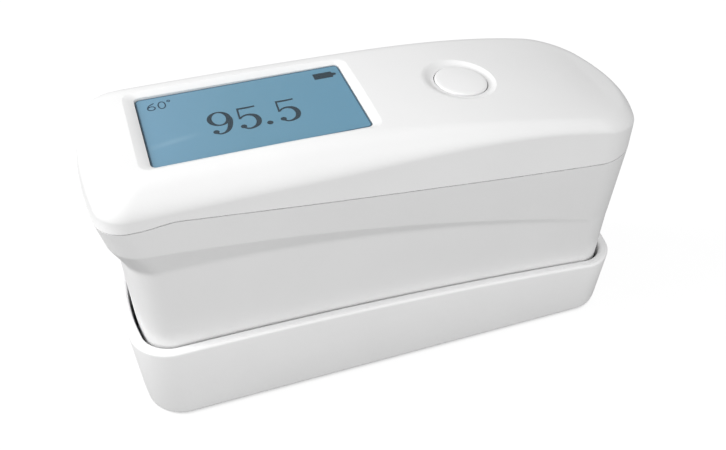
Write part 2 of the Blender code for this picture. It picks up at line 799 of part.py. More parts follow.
def base_tray(group, tools):
    bm = bmesh.new()
    foot = section(base_plan(0.0), PAD_PROUD)
    rim = section(base_plan(RIM_HEIGHT), rim_z)
    loft(bm, [foot, rim])
    tray = finish(mesh_of(bm), "base_tray", white_plastic(), group)
    thicken(tray, BASE_WALL)
    bevel(tray, RIM_ROUND, 2)
    floor_z = TRAY_FLOOR_Z - TRAY_FLOOR_THICKNESS
    floor_plan = base_plan(TRAY_FLOOR_Z, 0.5 * BASE_WALL)
    join(tray, as_cutter(prism("tray_floor", floor_plan, floor_z, TRAY_FLOOR_Z, white_plastic(), tools)))
    low = BASE_PLATE_TOP_Z + SEAT_GAP
    for i, (x, y) in enumerate(BASE_SCREWS, 1):
        join(tray, peg(f"tray_boss_{i}", x, y, BOSS_RADIUS, low, floor_z + OVERCUT, tools))
    wall = tile_outline(SEAT_GAP + TILE_FENCE)
    fence_z = TILE_Z + SEAT_GAP
    join(tray, as_cutter(prism("tile_fence", wall, fence_z, floor_z + OVERCUT, white_plastic(), tools)))
    pocket = prism("tile_pocket", tile_outline(SEAT_GAP), 0.0, TRAY_FLOOR_Z - TILE_LEDGE, steel(), tools)
    view = prism("tile_view", tile_outline(-TILE_LEDGE), 0.0, TRAY_FLOOR_Z + OVERCUT, steel(), tools)
    cut(tray, as_cutter(pocket), as_cutter(view))
    for i, (x, y) in enumerate(BASE_SCREWS, 1):
        cut(tray, pilot(f"tray_pilot_{i}", x, y, 0.0, TRAY_FLOOR_Z - SCREW_SKIN, tools))
    return tray


def tile_outline(grow):
    corner = TILE_CORNER + max(grow, 0.0)
    return rounded_rectangle(TILE_LENGTH + 2.0 * grow, TILE_WIDTH + 2.0 * grow, corner)


def base_underside(group, tools):
    """Base plate with its screws, the rubber pad below it, and the tile and its foam pad above it."""
    outline = base_plan(BASE_PLATE_Z, BASE_WALL + SEAT_GAP)
    plate = prism("base_plate", outline, BASE_PLATE_Z, BASE_PLATE_TOP_Z, white_plastic(), group)
    seat_z = BASE_PLATE_Z + SCREW_SINK
    for i, (x, y) in enumerate(BASE_SCREWS, 1):
        cut(plate, screw_seat(f"base_plate_hole_{i}", x, y, BASE_PLATE_Z, seat_z, tools))
        screw(f"base_screw_{i}", x, y, seat_z, TRAY_FLOOR_Z - SCREW_SKIN - SEAT_GAP - seat_z, group)
    pad_plan = base_plan(0.0, BASE_WALL + PAD_MARGIN)
    prism("base_pad", pad_plan, 0.0, PAD_THICKNESS, material("rubber", (0.05, 0.05, 0.05), 0.85), group)
    glass = material("black_glass", (0.005, 0.005, 0.006), 0.03)
    tile = prism("calibration_tile", tile_outline(0.0), TILE_Z, TILE_TOP_Z, glass, group)
    bevel(tile, TILE_EDGE, 1)
    foam = material("foam", (0.12, 0.12, 0.12), 0.95)
    low = BASE_PLATE_TOP_Z + SEAT_GAP
    prism("tile_pad", tile_outline(-TILE_PAD_INSET), low, TILE_Z - SEAT_GAP, foam, group)


# Shells of the meter


def lower_housing(group, tools):
    bm = bmesh.new()

    def in_base(x):
        return min(RIM_HEIGHT, mix(SOLE_Z, waist_z(x), BODY_LEAN_SHARE))

    levels = [
        section(body_plan(SOLE_Z), SOLE_Z),
        section(body_plan(RIM_HEIGHT), in_base),
        section(waist_plan(), waist_z),
        section(brow_plan(), brow_z),
        section(head_plan(), parting_z),
        section(head_plan(), lambda x: parting_z(x) + PARTING_SPARE),
    ]
    loft(bm, levels)
    housing = finish(mesh_of(bm), "lower_housing", white_plastic(), group)
    thicken(housing, SHELL_WALL)
    low = -0.5 * PARTING_GAP
    cut(housing, parting_slab("above_parting", low, low + 4.0 * PARTING_SPARE, tools))
    join(housing, housing_lip(tools))
    for i, (x, y) in enumerate(COVER_SCREWS, 1):
        z = parting_z(x)
        radius = BOSS_RADIUS + SEAT_GAP
        cut(housing, peg(f"lip_notch_{i}", x, y, radius, z - 2.0 * LIP_ROOT, z + 2.0 * LIP_ROOT, tools))
    for i, (x, y) in enumerate(COVER_SCREWS, 1):
        join(housing, peg(f"cover_post_{i}", x, y, POST_RADIUS, BLOCK_Z, POST_TOP_Z, tools))
    for i, (x, y) in enumerate(SOLE_SCREWS, 1):
        high = BLOCK_Z + BOSS_DEPTH + SCREW_SKIN
        join(housing, peg(f"sole_boss_{i}", x, y, BOSS_RADIUS, BLOCK_Z, high, tools))
    for i, side in enumerate((-1.0, 1.0), 1):
        join(housing, as_cutter(socket_ledge(i, side, tools)))
    join(housing, hook_ledge(tools))
    for i, (x, y) in enumerate(COVER_SCREWS, 1):
        cut(housing, screw_seat(f"cover_access_{i}", x, y, BLOCK_Z, POST_TOP_Z - POST_SEAT, tools))
    for i, (x, y) in enumerate(SOLE_SCREWS, 1):
        cut(housing, pilot(f"sole_pilot_{i}", x, y, SOLE_TOP_Z, BLOCK_Z + BOSS_DEPTH, tools))
    cut(housing, socket_mouth(tools))
    return housing


def parting_slab(name, low, high, tools):
    """Slab wider than the model, between two heights above the parting line."""
    reach = 0.6 * BASE_LENGTH
    stations = [-reach]
    stations += [PARTING_STEP_X - PARTING_STEP_RUN * (1.0 - i / 4) for i in range(4)]
    stations += [mix(PARTING_STEP_X, reach, i / 12) for i in range(13)]
    rings = []
    for x in stations:
        corner = ((-1.0, low), (1.0, low), (1.0, high), (-1.0, high))
        rings.append([Vector((x, side * HEAD_WIDTH, parting_z(x) + rise)) for side, rise in corner])
    return as_cutter(stack(name, rings, steel(), tools))


def housing_lip(tools):
    """Tongue inside the parting line that locates the cover."""
    bm = bmesh.new()
    foot = 0.5 * SHELL_WALL
    free = SHELL_WALL + SEAT_GAP
    top = free + SEAT_GAP
    rise = LIP_HEIGHT
    loft(
        bm,
        [
            section(head_plan(foot, foot, lambda x: foot), lambda x: parting_z(x) - LIP_ROOT),
            section(head_plan(free, free, lambda x: free), lambda x: parting_z(x) - SEAT_GAP),
            section(head_plan(top, top, lambda x: top), lambda x: parting_z(x) + rise),
        ],
    )
    lip = finish(mesh_of(bm), "housing_lip", white_plastic(), tools)
    thicken(lip, LIP_THICKNESS)
    return as_cutter(lip)


def upper_cover(group, tools):
    bm = bmesh.new()
    half = 0.5 * HEAD_WIDTH

    def lean(x):
        return mix(SIDE_LEAN_LEFT, SIDE_LEAN_RIGHT, along_flank(x))

    levels = [
        section(head_plan(), lambda x: parting_z(x) - PARTING_SPARE),
        section(head_plan(), parting_z),
    ]
    crown_plan = head_plan(
        END_LEAN_LEFT + EDGE_ROUND_LEFT,
        END_LEAN_RIGHT + EDGE_ROUND_RIGHT,
        lambda x: lean(x) + edge_round(x),
    )
    for i in range(EDGE_STEPS + 1):
        turn = 0.5 * math.pi * i / EDGE_STEPS
        out = 1.0 - math.cos(turn)
        outline = head_plan(
            END_LEAN_LEFT + EDGE_ROUND_LEFT * out,
            END_LEAN_RIGHT + EDGE_ROUND_RIGHT * out,
            lambda x: lean(x) + edge_round(x) * out,
        )
        ring = []
        for (x, y), (cx, cy) in zip(outline, crown_plan):
            drop = crown_drop(cx, cy) + edge_round(x) * (1.0 - math.sin(turn))
            ring.append(Vector((x, y, top_z(x) - drop)))
        levels.append(ring)
    rows = loft(bm, levels)
    crown_surface(bm, rows[-1])
    cover = finish(mesh_of(bm), "upper_cover", white_plastic(), group)
    thicken(cover, SHELL_WALL)
    high = 0.5 * PARTING_GAP
    cut(cover, parting_slab("below_parting", high - 4.0 * PARTING_SPARE, high, tools))
    for i, (x, y) in enumerate(COVER_SCREWS, 1):
        join(cover, cover_boss(f"cover_boss_{i}", x, y, POST_TOP_Z + SEAT_GAP, tools))
    for i, (x, y) in enumerate(BOARD_SCREWS, 1):
        join(cover, cover_boss(f"board_boss_{i}", x, y, BOARD_TOP_Z + SEAT_GAP, tools))
    join(cover, *cover_hook(tools))
    cut(cover, display_room(tools), display_opening(tools), button_dish(tools))
    for i, (x, y) in enumerate(COVER_SCREWS, 1):
        high = POST_TOP_Z + 2.0 * SEAT_GAP + BOSS_DEPTH
        cut(cover, pilot(f"cover_pilot_{i}", x, y, POST_TOP_Z, high, tools))
    for i, (x, y) in enumerate(BOARD_SCREWS, 1):
        high = BOARD_TOP_Z + 2.0 * SEAT_GAP + BOSS_DEPTH
        cut(cover, pilot(f"board_pilot_{i}", x, y, BOARD_TOP_Z, high, tools))
    return cover


def crown_surface(bm, edge):
    """Close the top with strips that run across from the front edge to the back edge."""
    count = len(edge)
    columns = []
    for i in range(1, count // 2):
        front = edge[i]
        back = edge[count - i]
        column = [front]
        for j in range(1, CAP_STRIPS):
            point = front.co.lerp(back.co, j / CAP_STRIPS)
            point.z = top_z(point.x) - crown_drop(point.x, point.y)
            column.append(bm.verts.new(point))
        columns.append(column + [back])
    for left, right in zip(columns, columns[1:]):
        for j in range(CAP_STRIPS):
            bm.faces.new((left[j], right[j], right[j + 1], left[j + 1]))
    for j in range(CAP_STRIPS):
        bm.faces.new((edge[0], columns[0][j], columns[0][j + 1]))
        bm.faces.new((edge[count // 2], columns[-1][j + 1], columns[-1][j]))


def cover_boss(name, x, y, low, tools):
    return peg(name, x, y, BOSS_RADIUS, low, top_z(x) - TOP_CROWN - 0.5 * SHELL_WALL, tools)


def hook_ledge(tools):
    """Ledge on the housing's left wall, over the foot of the cover's hook."""
    high = parting_z(HEAD_LEFT) - LEDGE_DROP
    left = HEAD_LEFT - HEAD_BOW_LEFT + BROW_INSET_LEFT + 0.5 * SHELL_WALL
    right = HOOK_X - SEAT_GAP
    size = (right - left, HOOK_WIDTH, LEDGE_HEIGHT)
    centre = (0.5 * (left + right), 0.0, high - 0.5 * size[2])
    return as_cutter(box("hook_ledge", centre, size, steel(), tools))


def cover_hook(tools):
    """Tongue down from the cover's left end, with a foot that reaches out under the housing's ledge."""
    foot_top = parting_z(HEAD_LEFT) - LEDGE_DROP - LEDGE_HEIGHT - SEAT_GAP
    foot_low = foot_top - HOOK_THICKNESS
    high = TOP_Z - TOP_CROWN - 0.5 * SHELL_WALL
    width = HOOK_WIDTH - 2.0 * SEAT_GAP
    size = (HOOK_THICKNESS, width, high - foot_low)
    centre = (HOOK_X + 0.5 * size[0], 0.0, 0.5 * (foot_low + high))
    tongue = box("cover_tongue", centre, size, steel(), tools)
    size = (HOOK_THICKNESS + FOOT_REACH, width, HOOK_THICKNESS)
    centre = (HOOK_X + HOOK_THICKNESS - 0.5 * size[0], 0.0, 0.5 * (foot_low + foot_top))
    return as_cutter(tongue), as_cutter(box("cover_foot", centre, size, steel(), tools))


def screen_outline(grow):
    corner = SCREEN_CORNER + max(grow, 0.0)
    return rounded_rectangle(SCREEN_LENGTH + 2.0 * grow, SCREEN_WIDTH + 2.0 * grow, corner, (SCREEN_X, 0.0))


def display_opening(tools):
    """Opening for the window, with the slopes of the frame rising from it to the cover's top surface."""
    opening = screen_outline(WINDOW_GAP)
    length = SCREEN_LENGTH + FRAME_LEFT + FRAME_RIGHT
    centre = (SCREEN_X + 0.5 * (FRAME_RIGHT - FRAME_LEFT), 0.0)
    edge = rounded_rectangle(length, SCREEN_WIDTH + 2.0 * FRAME_SIDE, FRAME_CORNER, centre)
    past = 2.0
    slope = []
    for (ax, ay), (bx, by) in zip(opening, edge):
        rise = top_z(bx) - crown_drop(bx, by) - SCREEN_Z
        slope.append(Vector((mix(ax, bx, past), mix(ay, by, past), SCREEN_Z + past * rise)))
    above = [Vector((point.x, point.y, TOP_Z + 2.0 * SHELL_WALL)) for point in slope]
    low = section(opening, SCREEN_Z - 2.0 * SHELL_WALL)
    levels = [low, section(opening, SCREEN_Z), slope, above]
    return as_cutter(stack("display_opening", levels, steel(), tools))


def display_room(tools):
    """Flat seat inside the cover that clears the display's carrier."""
    length, width = lcd_frame_size(SEAT_GAP)
    outline = rounded_rectangle(length, width, 0.0010, (SCREEN_X, 0.0))
    return as_cutter(prism("display_room", outline, BOARD_TOP_Z, LCD_TOP_Z + SEAT_GAP, steel(), tools))


def button_dish(tools):
    """Round dish with the cap's hole at its bottom."""
    hole = CAP_RADIUS + SLIDE_GAP
    mid = 0.5 * (DISH_RADIUS + hole)
    profile = [
        (0.0, 0.0020),
        (DISH_RADIUS, 0.0020),
        (DISH_RADIUS, -0.15 * DISH_DEPTH),
        (mid, -0.75 * DISH_DEPTH),
        (hole, -DISH_DEPTH),
        (hole, -2.0 * SHELL_WALL),
        (0.0, -2.0 * SHELL_WALL),
    ]
    return as_cutter(turned("button_dish", profile, BUTTON_PLACE, steel(), tools, 40))


def sole_plate(group, tools):
    outline = body_plan(SOLE_Z, SHELL_WALL + SEAT_GAP)
    sole = prism("sole_plate", outline, SOLE_Z, SOLE_TOP_Z, black_plastic(), group)
    slot = rounded_rectangle(PORT_LENGTH, PORT_WIDTH, 0.5 * PORT_WIDTH - 0.0001, steps=8)
    cut(sole, as_cutter(prism("measuring_port", slot, 0.0, SOLE_TOP_Z + OVERCUT, steel(), tools)))
    seat_z = SOLE_Z + SCREW_SINK
    length = SOLE_TOP_Z + BOSS_DEPTH - seat_z
    for i, (x, y) in enumerate(SOLE_SCREWS, 1):
        cut(sole, screw_seat(f"sole_hole_{i}", x, y, SOLE_Z, seat_z, tools))
        screw(f"sole_screw_{i}", x, y, seat_z, length, group)
    for i, (x, y) in enumerate(BLOCK_SCREWS, 1):
        cut(sole, screw_seat(f"sole_block_hole_{i}", x, y, SOLE_Z, seat_z, tools))
        screw(f"block_screw_{i}", x, y, seat_z, length - SEAT_GAP, group)
    return sole


# Display


def display(group, tools):
    look = material("display_blue", (0.19, 0.37, 0.49), 0.25)
    prism("display_window", screen_outline(0.0), WINDOW_Z, SCREEN_Z, clear_glass(), group)
    guide = material("light_guide", (0.75, 0.8, 0.85), 0.3)
    for name, low, thick, made_of in (
        ("lcd_panel", LCD_Z, LCD_THICKNESS, look),
        ("lcd_backlight", BACKLIGHT_Z, BACKLIGHT_THICKNESS, guide),
    ):
        box(name, (SCREEN_X, 0.0, low + 0.5 * thick), (LCD_LENGTH, LCD_WIDTH, thick), made_of, group)
    lcd_frame(group, tools)
    lcd_flex(group)


def lcd_frame_size(grow=0.0):
    """Length and width of the carrier that holds the panel, moved outwards by a distance."""
    margin = 2.0 * (SEAT_GAP + LCD_FRAME_WALL + grow)
    return LCD_LENGTH + margin, LCD_WIDTH + margin


def lcd_frame(group, tools):
    """Carrier that stands on the board and holds the panel and its backlight."""
    low = BOARD_TOP_Z + SEAT_GAP
    high = LCD_TOP_Z
    size = (*lcd_frame_size(), high - low)
    grow = SEAT_GAP + LCD_FRAME_WALL
    frame = box("lcd_frame", (SCREEN_X, 0.0, 0.5 * (low + high)), size, black_plastic(), group)
    inner = (LCD_LENGTH + 2.0 * SEAT_GAP, LCD_WIDTH + 2.0 * SEAT_GAP)
    shelf = BACKLIGHT_Z - SEAT_GAP
    depth = high - shelf + OVERCUT
    pocket = box("lcd_pocket", (SCREEN_X, 0.0, shelf + 0.5 * depth), (*inner, depth), steel(), tools)
    hollow = shelf - LCD_FRAME_WALL - low
    centre = (SCREEN_X, 0.0, low + 0.5 * (hollow - OVERCUT))
    room = box("lcd_frame_room", centre, (*inner, hollow + OVERCUT), steel(), tools)
    notch_low = LCD_Z
    notch_size = (4.0 * grow, FLEX_WIDTH + 4.0 * SEAT_GAP, high - notch_low + OVERCUT)
    notch_at = (LCD_RIGHT + grow, 0.0, notch_low + 0.5 * notch_size[2])
    notch = box("flex_notch", notch_at, notch_size, steel(), tools)
    cut(frame, as_cutter(pocket), as_cutter(room), as_cutter(notch))
    return frame


def lcd_flex(group):
    """Flat flex from the panel's end, over the carrier and down to its connector."""
    start = LCD_RIGHT + SEAT_GAP
    turn_x = start + LCD_FRAME_WALL + FLEX_REACH
    high = LCD_Z + 0.5 * LCD_THICKNESS
    low = BOARD_TOP_Z + FLEX_LIFT
    bend = FLEX_BEND
    path = [(start, high)]
    for i in range(5):
        angle = 0.5 * math.pi * (1.0 - i / 4)
        path.append((turn_x - bend + bend * math.cos(angle), high - bend + bend * math.sin(angle)))
    for i in range(5):
        angle = math.pi * (1.0 + 0.5 * i / 4)
        path.append((turn_x + bend + bend * math.cos(angle), low + bend + bend * math.sin(angle)))
    path.append((turn_x + FLEX_FOOT, low))
    bm = bmesh.new()
    half = 0.5 * FLEX_WIDTH
    near = [bm.verts.new((x, -half, z)) for x, z in path]
    far = [bm.verts.new((x, half, z)) for x, z in path]
    for i in range(len(path) - 1):
        bm.faces.new((near[i], near[i + 1], far[i + 1], far[i]))
    mesh = bpy.data.meshes.new("lcd_flex")
    bm.to_mesh(mesh)
    bm.free()
    flex = finish(mesh, "lcd_flex", material("flex", (0.35, 0.18, 0.05), 0.4), group)
    thicken(flex, FLEX_THICKNESS)
    size = (CONNECTOR_LENGTH, FLEX_WIDTH + 2.0 * CONNECTOR_BORDER, CONNECTOR_HEIGHT)
    centre = (path[-1][0] + SEAT_GAP + 0.5 * size[0], 0.0, BOARD_TOP_Z + SEAT_GAP + 0.5 * size[2])
    bevel(box("flex_connector", centre, size, black_plastic(), group), SMALL_EDGE, 1)


# Board, switch and button


def main_board(group, tools):
    centre = (0.5 * (BOARD_LEFT + BOARD_RIGHT), 0.0)
    outline = rounded_rectangle(BOARD_RIGHT - BOARD_LEFT, BOARD_WIDTH, BOARD_CORNER, centre)
    board = prism("main_board", outline, BOARD_Z, BOARD_TOP_Z, circuit_board(), group)
    for i, (x, y) in enumerate(BOARD_SCREWS, 1):
        cut(board, pilot(f"board_hole_{i}", x, y, BOARD_Z - OVERCUT, BOARD_TOP_Z + OVERCUT, tools))
        reach = BOARD_THICKNESS + BOSS_DEPTH
        screw(f"board_screw_{i}", x, y, BOARD_Z, reach, group)
    centre = (SCREEN_X, 0.0, BOARD_TOP_Z + SEAT_GAP + 0.5 * CHIP_HEIGHT)
    chip = box("main_chip", centre, (CHIP_SIDE, CHIP_SIDE, CHIP_HEIGHT), black_plastic(), group)
    bevel(chip, SMALL_EDGE, 1)
    return board


def tact_switch(group, tools):
    centre = (SWITCH_X, 0.0, SWITCH_Z + 0.5 * SWITCH_HEIGHT)
    switch = box("tact_switch", centre, (SWITCH_SIDE, SWITCH_SIDE, SWITCH_HEIGHT), black_plastic(), group)
    bevel(switch, SWITCH_EDGE, 1)
    floor_z = SWITCH_Z + PLUNGER_FLOOR
    radius = PLUNGER_RADIUS + SLIDE_GAP
    cut(switch, peg("plunger_well", SWITCH_X, 0.0, radius, floor_z, PLUNGER_TOP_Z, tools))
    look = material("plunger", (0.25, 0.25, 0.26), 0.5)
    low = floor_z + BUTTON_TRAVEL + SEAT_GAP
    prism("switch_plunger", circle(PLUNGER_RADIUS, SWITCH_X, 0.0), low, PLUNGER_TOP_Z, look, group)


def measure_button(group):
    """Cap, retaining flange and stem in one moulding, turned about the button's tilted axis."""
    top = -DISH_DEPTH + CAP_RISE
    flange = -SHELL_WALL - SEAT_GAP - BUTTON_PLAY
    profile = [(0.0, top + CAP_DOME), (0.5 * CAP_RADIUS, top + 0.75 * CAP_DOME)]
    profile += [
        (CAP_RADIUS - CAP_EDGE, top),
        (CAP_RADIUS, top - CAP_EDGE),
        (CAP_RADIUS, flange),
        (FLANGE_RADIUS, flange),
        (FLANGE_RADIUS, flange - FLANGE_THICKNESS),
        (STEM_RADIUS, flange - FLANGE_THICKNESS),
        (STEM_RADIUS, -STEM_LENGTH),
        (0.0, -STEM_LENGTH),
    ]
    return turned("measure_button", profile, BUTTON_PLACE, white_plastic(), group, 28)


# Optics


def channel_place(side, reach):
    """Place on the axis of a channel, Z pointing outwards; side is -1 for the lamp, 1 for the sensor."""
    turn = Matrix.Rotation(side * MEASURING_ANGLE, 4, "Y")
    return Matrix.Translation((0.0, 0.0, SAMPLE_Z)) @ turn @ Matrix.Translation((0.0, 0.0, reach))


def block_outline():
    """Right half of the block's outline in X and Z, from the bottom centre round to the top centre."""
    s = ARM_SINE
    c = ARM_COSINE
    foot = (BLOCK_Z - SAMPLE_Z + s * ARM_HALF) / c
    valley = (BLOCK_VALLEY_Z - SAMPLE_Z - s * ARM_HALF) / c
    return [
        (s * foot + c * ARM_HALF, BLOCK_Z),
        (s * ARM_LENGTH + c * ARM_HALF, SAMPLE_Z + c * ARM_LENGTH - s * ARM_HALF),
        (s * ARM_LENGTH - c * ARM_HALF, SAMPLE_Z + c * ARM_LENGTH + s * ARM_HALF),
        (s * valley - c * ARM_HALF, BLOCK_VALLEY_Z),
    ]


def optical_block(group, tools):
    right = block_outline()
    outline = right + [(-x, z) for x, z in reversed(right)]
    half = 0.5 * BLOCK_WIDTH
    bm = bmesh.new()
    front = [bm.verts.new((x, -half, z)) for x, z in outline]
    face = bm.faces.new(front)
    made = bmesh.ops.extrude_face_region(bm, geom=[face])
    back = [v for v in made["geom"] if isinstance(v, bmesh.types.BMVert)]
    bmesh.ops.translate(bm, vec=(0.0, BLOCK_WIDTH, 0.0), verts=back)
    block = finish(mesh_of(bm), "optical_block", black_plastic(), group)
    bevel(block, BLOCK_EDGE, 1, 25.0)
    start = -2.0 * CHANNEL_RADIUS
    end = ARM_LENGTH + 2.0 * OVERCUT
    for i, side in enumerate((-1.0, 1.0), 1):
        channel = rod(f"channel_{i}", CHANNEL_RADIUS, start, end, channel_place(side, 0.0), steel(), tools)
        cut(block, as_cutter(channel))
    for i, (x, y) in enumerate(BLOCK_SCREWS, 1):
        cut(block, pilot(f"block_pilot_{i}", x, y, SOLE_Z, BLOCK_Z + BOSS_DEPTH, tools))
    return block


def lens(name, side, group):
    radius = CHANNEL_RADIUS - SLIDE_GAP
    half = 0.5 * LENS_THICKNESS
    profile = [(0.0, half), (0.55 * radius, 0.8 * half), (radius, 0.4 * half)]
    profile += [(r, -h) for r, h in reversed(profile)]
    return turned(name, profile, channel_place(side, LENS_SHARE * ARM_LENGTH), clear_glass(), group)


def slit(name, side, group, tools):
    radius = CHANNEL_RADIUS - SLIDE_GAP
    half = 0.5 * SLIT_THICKNESS
    place = channel_place(side, SLIT_SHARE * ARM_LENGTH)
    plate = rod(name, radius, -half, half, place, black_plastic(), group)
    size = (SLIT_WIDTH, SLIT_LENGTH, 3.0 * SLIT_THICKNESS)
    hole = box(f"{name}_hole", (0.0, 0.0, 0.0), size, steel(), tools)
    hole.matrix_world = place
    return cut(plate, as_cutter(hole))


def sensor_board(name, side, group):
    size = (SENSOR_BOARD_HEIGHT, SENSOR_BOARD_WIDTH, SENSOR_BOARD_THICKNESS)
    board = box(name, (0.0, 0.0, 0.0), size, circuit_board(), group)
    board.matrix_world = channel_place(side, SENSOR_BOARD_REACH + 0.5 * SENSOR_BOARD_THICKNESS)
    return board


def optics(group, tools):
    optical_block(group, tools)
    for name, side in (("source", -1.0), ("receiver", 1.0)):
        lens(f"{name}_lens", side, group)
        slit(f"{name}_slit", side, group, tools)
        sensor_board(f"{name}_board", side, group)
    base = SENSOR_BOARD_REACH - SEAT_GAP
    profile = [(0.0, -LAMP_LENGTH)]
    for i in range(1, 4):
        angle = 0.5 * math.pi * i / 3
        height = -LAMP_LENGTH + LAMP_RADIUS * (1.0 - math.cos(angle))
        profile.append((LAMP_RADIUS * math.sin(angle), height))
    profile += [(LAMP_RADIUS, 0.0), (0.0, 0.0)]
    lamp = material("lamp", (0.9, 0.9, 0.8), 0.1)
    turned("source_led", list(reversed(profile)), channel_place(-1.0, base), lamp, group)
    rod("photodiode", DIODE_RADIUS, -DIODE_LENGTH, 0.0, channel_place(1.0, base), steel(), group)


# Supply and leads


def battery(group, tools):
    size = (BATTERY_LENGTH, BATTERY_WIDTH, BATTERY_THICKNESS)
    foil = material("foil", (0.6, 0.62, 0.65), 0.35, 0.8)
    centre = (0.0, 0.0, BATTERY_Z + 0.5 * BATTERY_THICKNESS)
    bevel(box("battery", centre, size, foil, group), BATTERY_EDGE, 2)
    height = BRACKET_THICKNESS + BRACKET_LIP
    size = (BRACKET_LENGTH, BATTERY_WIDTH + 2.0 * (SEAT_GAP + BRACKET_THICKNESS), height)
    bracket = box("battery_bracket", (0.0, 0.0, BRACKET_Z + 0.5 * height), size, black_plastic(), group)
    trough_size = (BRACKET_LENGTH + 2.0 * OVERCUT, BATTERY_WIDTH + 2.0 * SEAT_GAP, height)
    trough_z = BRACKET_Z + BRACKET_THICKNESS + 0.5 * height
    trough = box("bracket_trough", (0.0, 0.0, trough_z), trough_size, steel(), tools)
    cut(bracket, as_cutter(trough))


def socket_mouth(tools):
    size = (SOCKET_CUT, SOCKET_WIDTH + 2.0 * SLIDE_GAP, SOCKET_HEIGHT + 2.0 * SLIDE_GAP)
    mouth = box("socket_mouth", (right_end_x(SOCKET_MID_Z), 0.0, SOCKET_MID_Z), size, steel(), tools)
    return as_cutter(mouth)


def right_end_x(z, y=0.0):
    """How far the body's right end reaches at a height between the waist and the parting line."""
    bow = 1.0 - (2.0 * y / HEAD_WIDTH) ** 2
    low = HEAD_RIGHT + WAIST_REACH_RIGHT + WAIST_BOW_RIGHT * bow
    high = HEAD_RIGHT + HEAD_BOW_RIGHT * bow
    low_z = waist_z(low)
    return mix(low, high, (z - low_z) / (parting_z(high) - low_z))


def socket_ledge(index, side, tools):
    inner_y = 0.5 * SOCKET_WIDTH + LEDGE_CLEAR
    outer_y = 0.5 * SOCKET_BOARD_WIDTH
    top = SOCKET_BOARD_Z - SEAT_GAP
    end = right_end_x(top, outer_y) - 0.5 * SHELL_WALL
    size = (SOCKET_LEDGE + SHELL_WALL, outer_y - inner_y, LEDGE_THICKNESS)
    centre = (end - 0.5 * size[0], side * 0.5 * (inner_y + outer_y), top - 0.5 * size[2])
    return box(f"socket_ledge_{index}", centre, size, white_plastic(), tools)


def charging_socket(group, tools):
    """Small board on two ledges of the housing, with the socket under it facing the right end."""
    end = right_end_x(SOCKET_BOARD_Z, 0.5 * SOCKET_BOARD_WIDTH) - SHELL_WALL - 2.0 * SEAT_GAP
    x = end - 0.5 * SOCKET_BOARD_LENGTH
    size = (SOCKET_BOARD_LENGTH, SOCKET_BOARD_WIDTH, SOCKET_BOARD_THICKNESS)
    box("usb_board", (x, 0.0, SOCKET_BOARD_Z + 0.5 * SOCKET_BOARD_THICKNESS), size, circuit_board(), group)
    mouth_x = right_end_x(SOCKET_MID_Z) - SOCKET_SINK
    centre = (mouth_x - 0.5 * SOCKET_LENGTH, 0.0, SOCKET_MID_Z)
    socket = box("usb_socket", centre, (SOCKET_LENGTH, SOCKET_WIDTH, SOCKET_HEIGHT), steel(), group)
    bevel(socket, SOCKET_EDGE, 1)
    room_size = (SOCKET_LENGTH, SOCKET_WIDTH - 2.0 * SOCKET_WALL, SOCKET_HEIGHT - 2.0 * SOCKET_WALL)
    room = box("socket_room", (centre[0] + SOCKET_BACK, 0.0, SOCKET_MID_Z), room_size, steel(), tools)
    cut(socket, as_cutter(room))
    return x - 0.5 * SOCKET_BOARD_LENGTH


def lead(name, points, plug_x, plug_y, group):
    """Lead that ends in a plug under the main board."""
    size = PLUG_SIZE
    top = BOARD_Z - SEAT_GAP
    end = Vector((plug_x, plug_y, top - size[2] - SEAT_GAP))
    below = end - Vector((0.0, 0.0, 3.0 * LEAD_RADIUS))
    black = material("lead", (0.03, 0.03, 0.03), 0.5)
    cream = material("plug", (0.8, 0.78, 0.7), 0.5)
    tube_path(f"{name}_lead", points + [below, end], LEAD_RADIUS, black, group)
    box(f"{name}_plug", (plug_x, plug_y, top - 0.5 * size[2]), size, cream, group)


def leads(socket_board_left, group):
    start = SENSOR_BOARD_REACH + SENSOR_BOARD_THICKNESS + SEAT_GAP
    for name, side in (("source", -1.0), ("receiver", 1.0)):
        near = channel_place(side, start).translation
        clear = channel_place(side, start + 3.0 * LEAD_RADIUS).translation
        plug_x = side * LEAD_PLUG_X
        high = BOARD_Z - PLUG_SIZE[2]
        bow = Vector((clear.x - side * LEAD_BOW, 0.0, mix(clear.z, high, 0.45)))
        lead(name, [near, clear, bow], plug_x, 0.0, group)
    mid = BATTERY_Z + 0.5 * BATTERY_THICKNESS
    end = 0.5 * BATTERY_LENGTH + SEAT_GAP
    route = [Vector((end, 0.0, mid)), Vector((end + LEAD_START, 0.0, mid))]
    lead("battery", route, end + BATTERY_PLUG_REACH, 0.0, group)
    height = SOCKET_BOARD_Z + 0.5 * SOCKET_BOARD_THICKNESS
    first = socket_board_left - SEAT_GAP
    side_y = 1.5 * PLUG_SIZE[1]
    route = [Vector((first, side_y, height)), Vector((first - LEAD_START, side_y, height))]
    lead("usb", route, LEAD_PLUG_X, side_y, group)


# Assembly


def screws_from_below(group):
    for i, (x, y) in enumerate(COVER_SCREWS, 1):
        seat_z = POST_TOP_Z - POST_SEAT
        screw(f"cover_screw_{i}", x, y, seat_z, POST_SEAT + BOSS_DEPTH, group)


def build():
    clear_scene()
    group = new_collection(MODEL)
    tools = new_collection("cutters")
    base_tray(group, tools)
    base_underside(group, tools)
    lower_housing(group, tools)
    upper_cover(group, tools)
    sole_plate(group, tools)
    screws_from_below(group)
    display(group, tools)
    main_board(group, tools)
    tact_switch(group, tools)
    measure_button(group)
    optics(group, tools)
    battery(group, tools)
    board_left = charging_socket(group, tools)
    leads(board_left, group)


build()
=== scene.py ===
"""Looks of a pocket gloss meter standing in its calibration base.

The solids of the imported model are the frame. The shells, the button, the glass and what the display shows
are modelled here round them, at the same sizes and in metres: +X runs along the meter towards the button,
-Y is the front flank and +Z is up.
"""

import json
import math

import bpy
from mathutils import Matrix, Vector


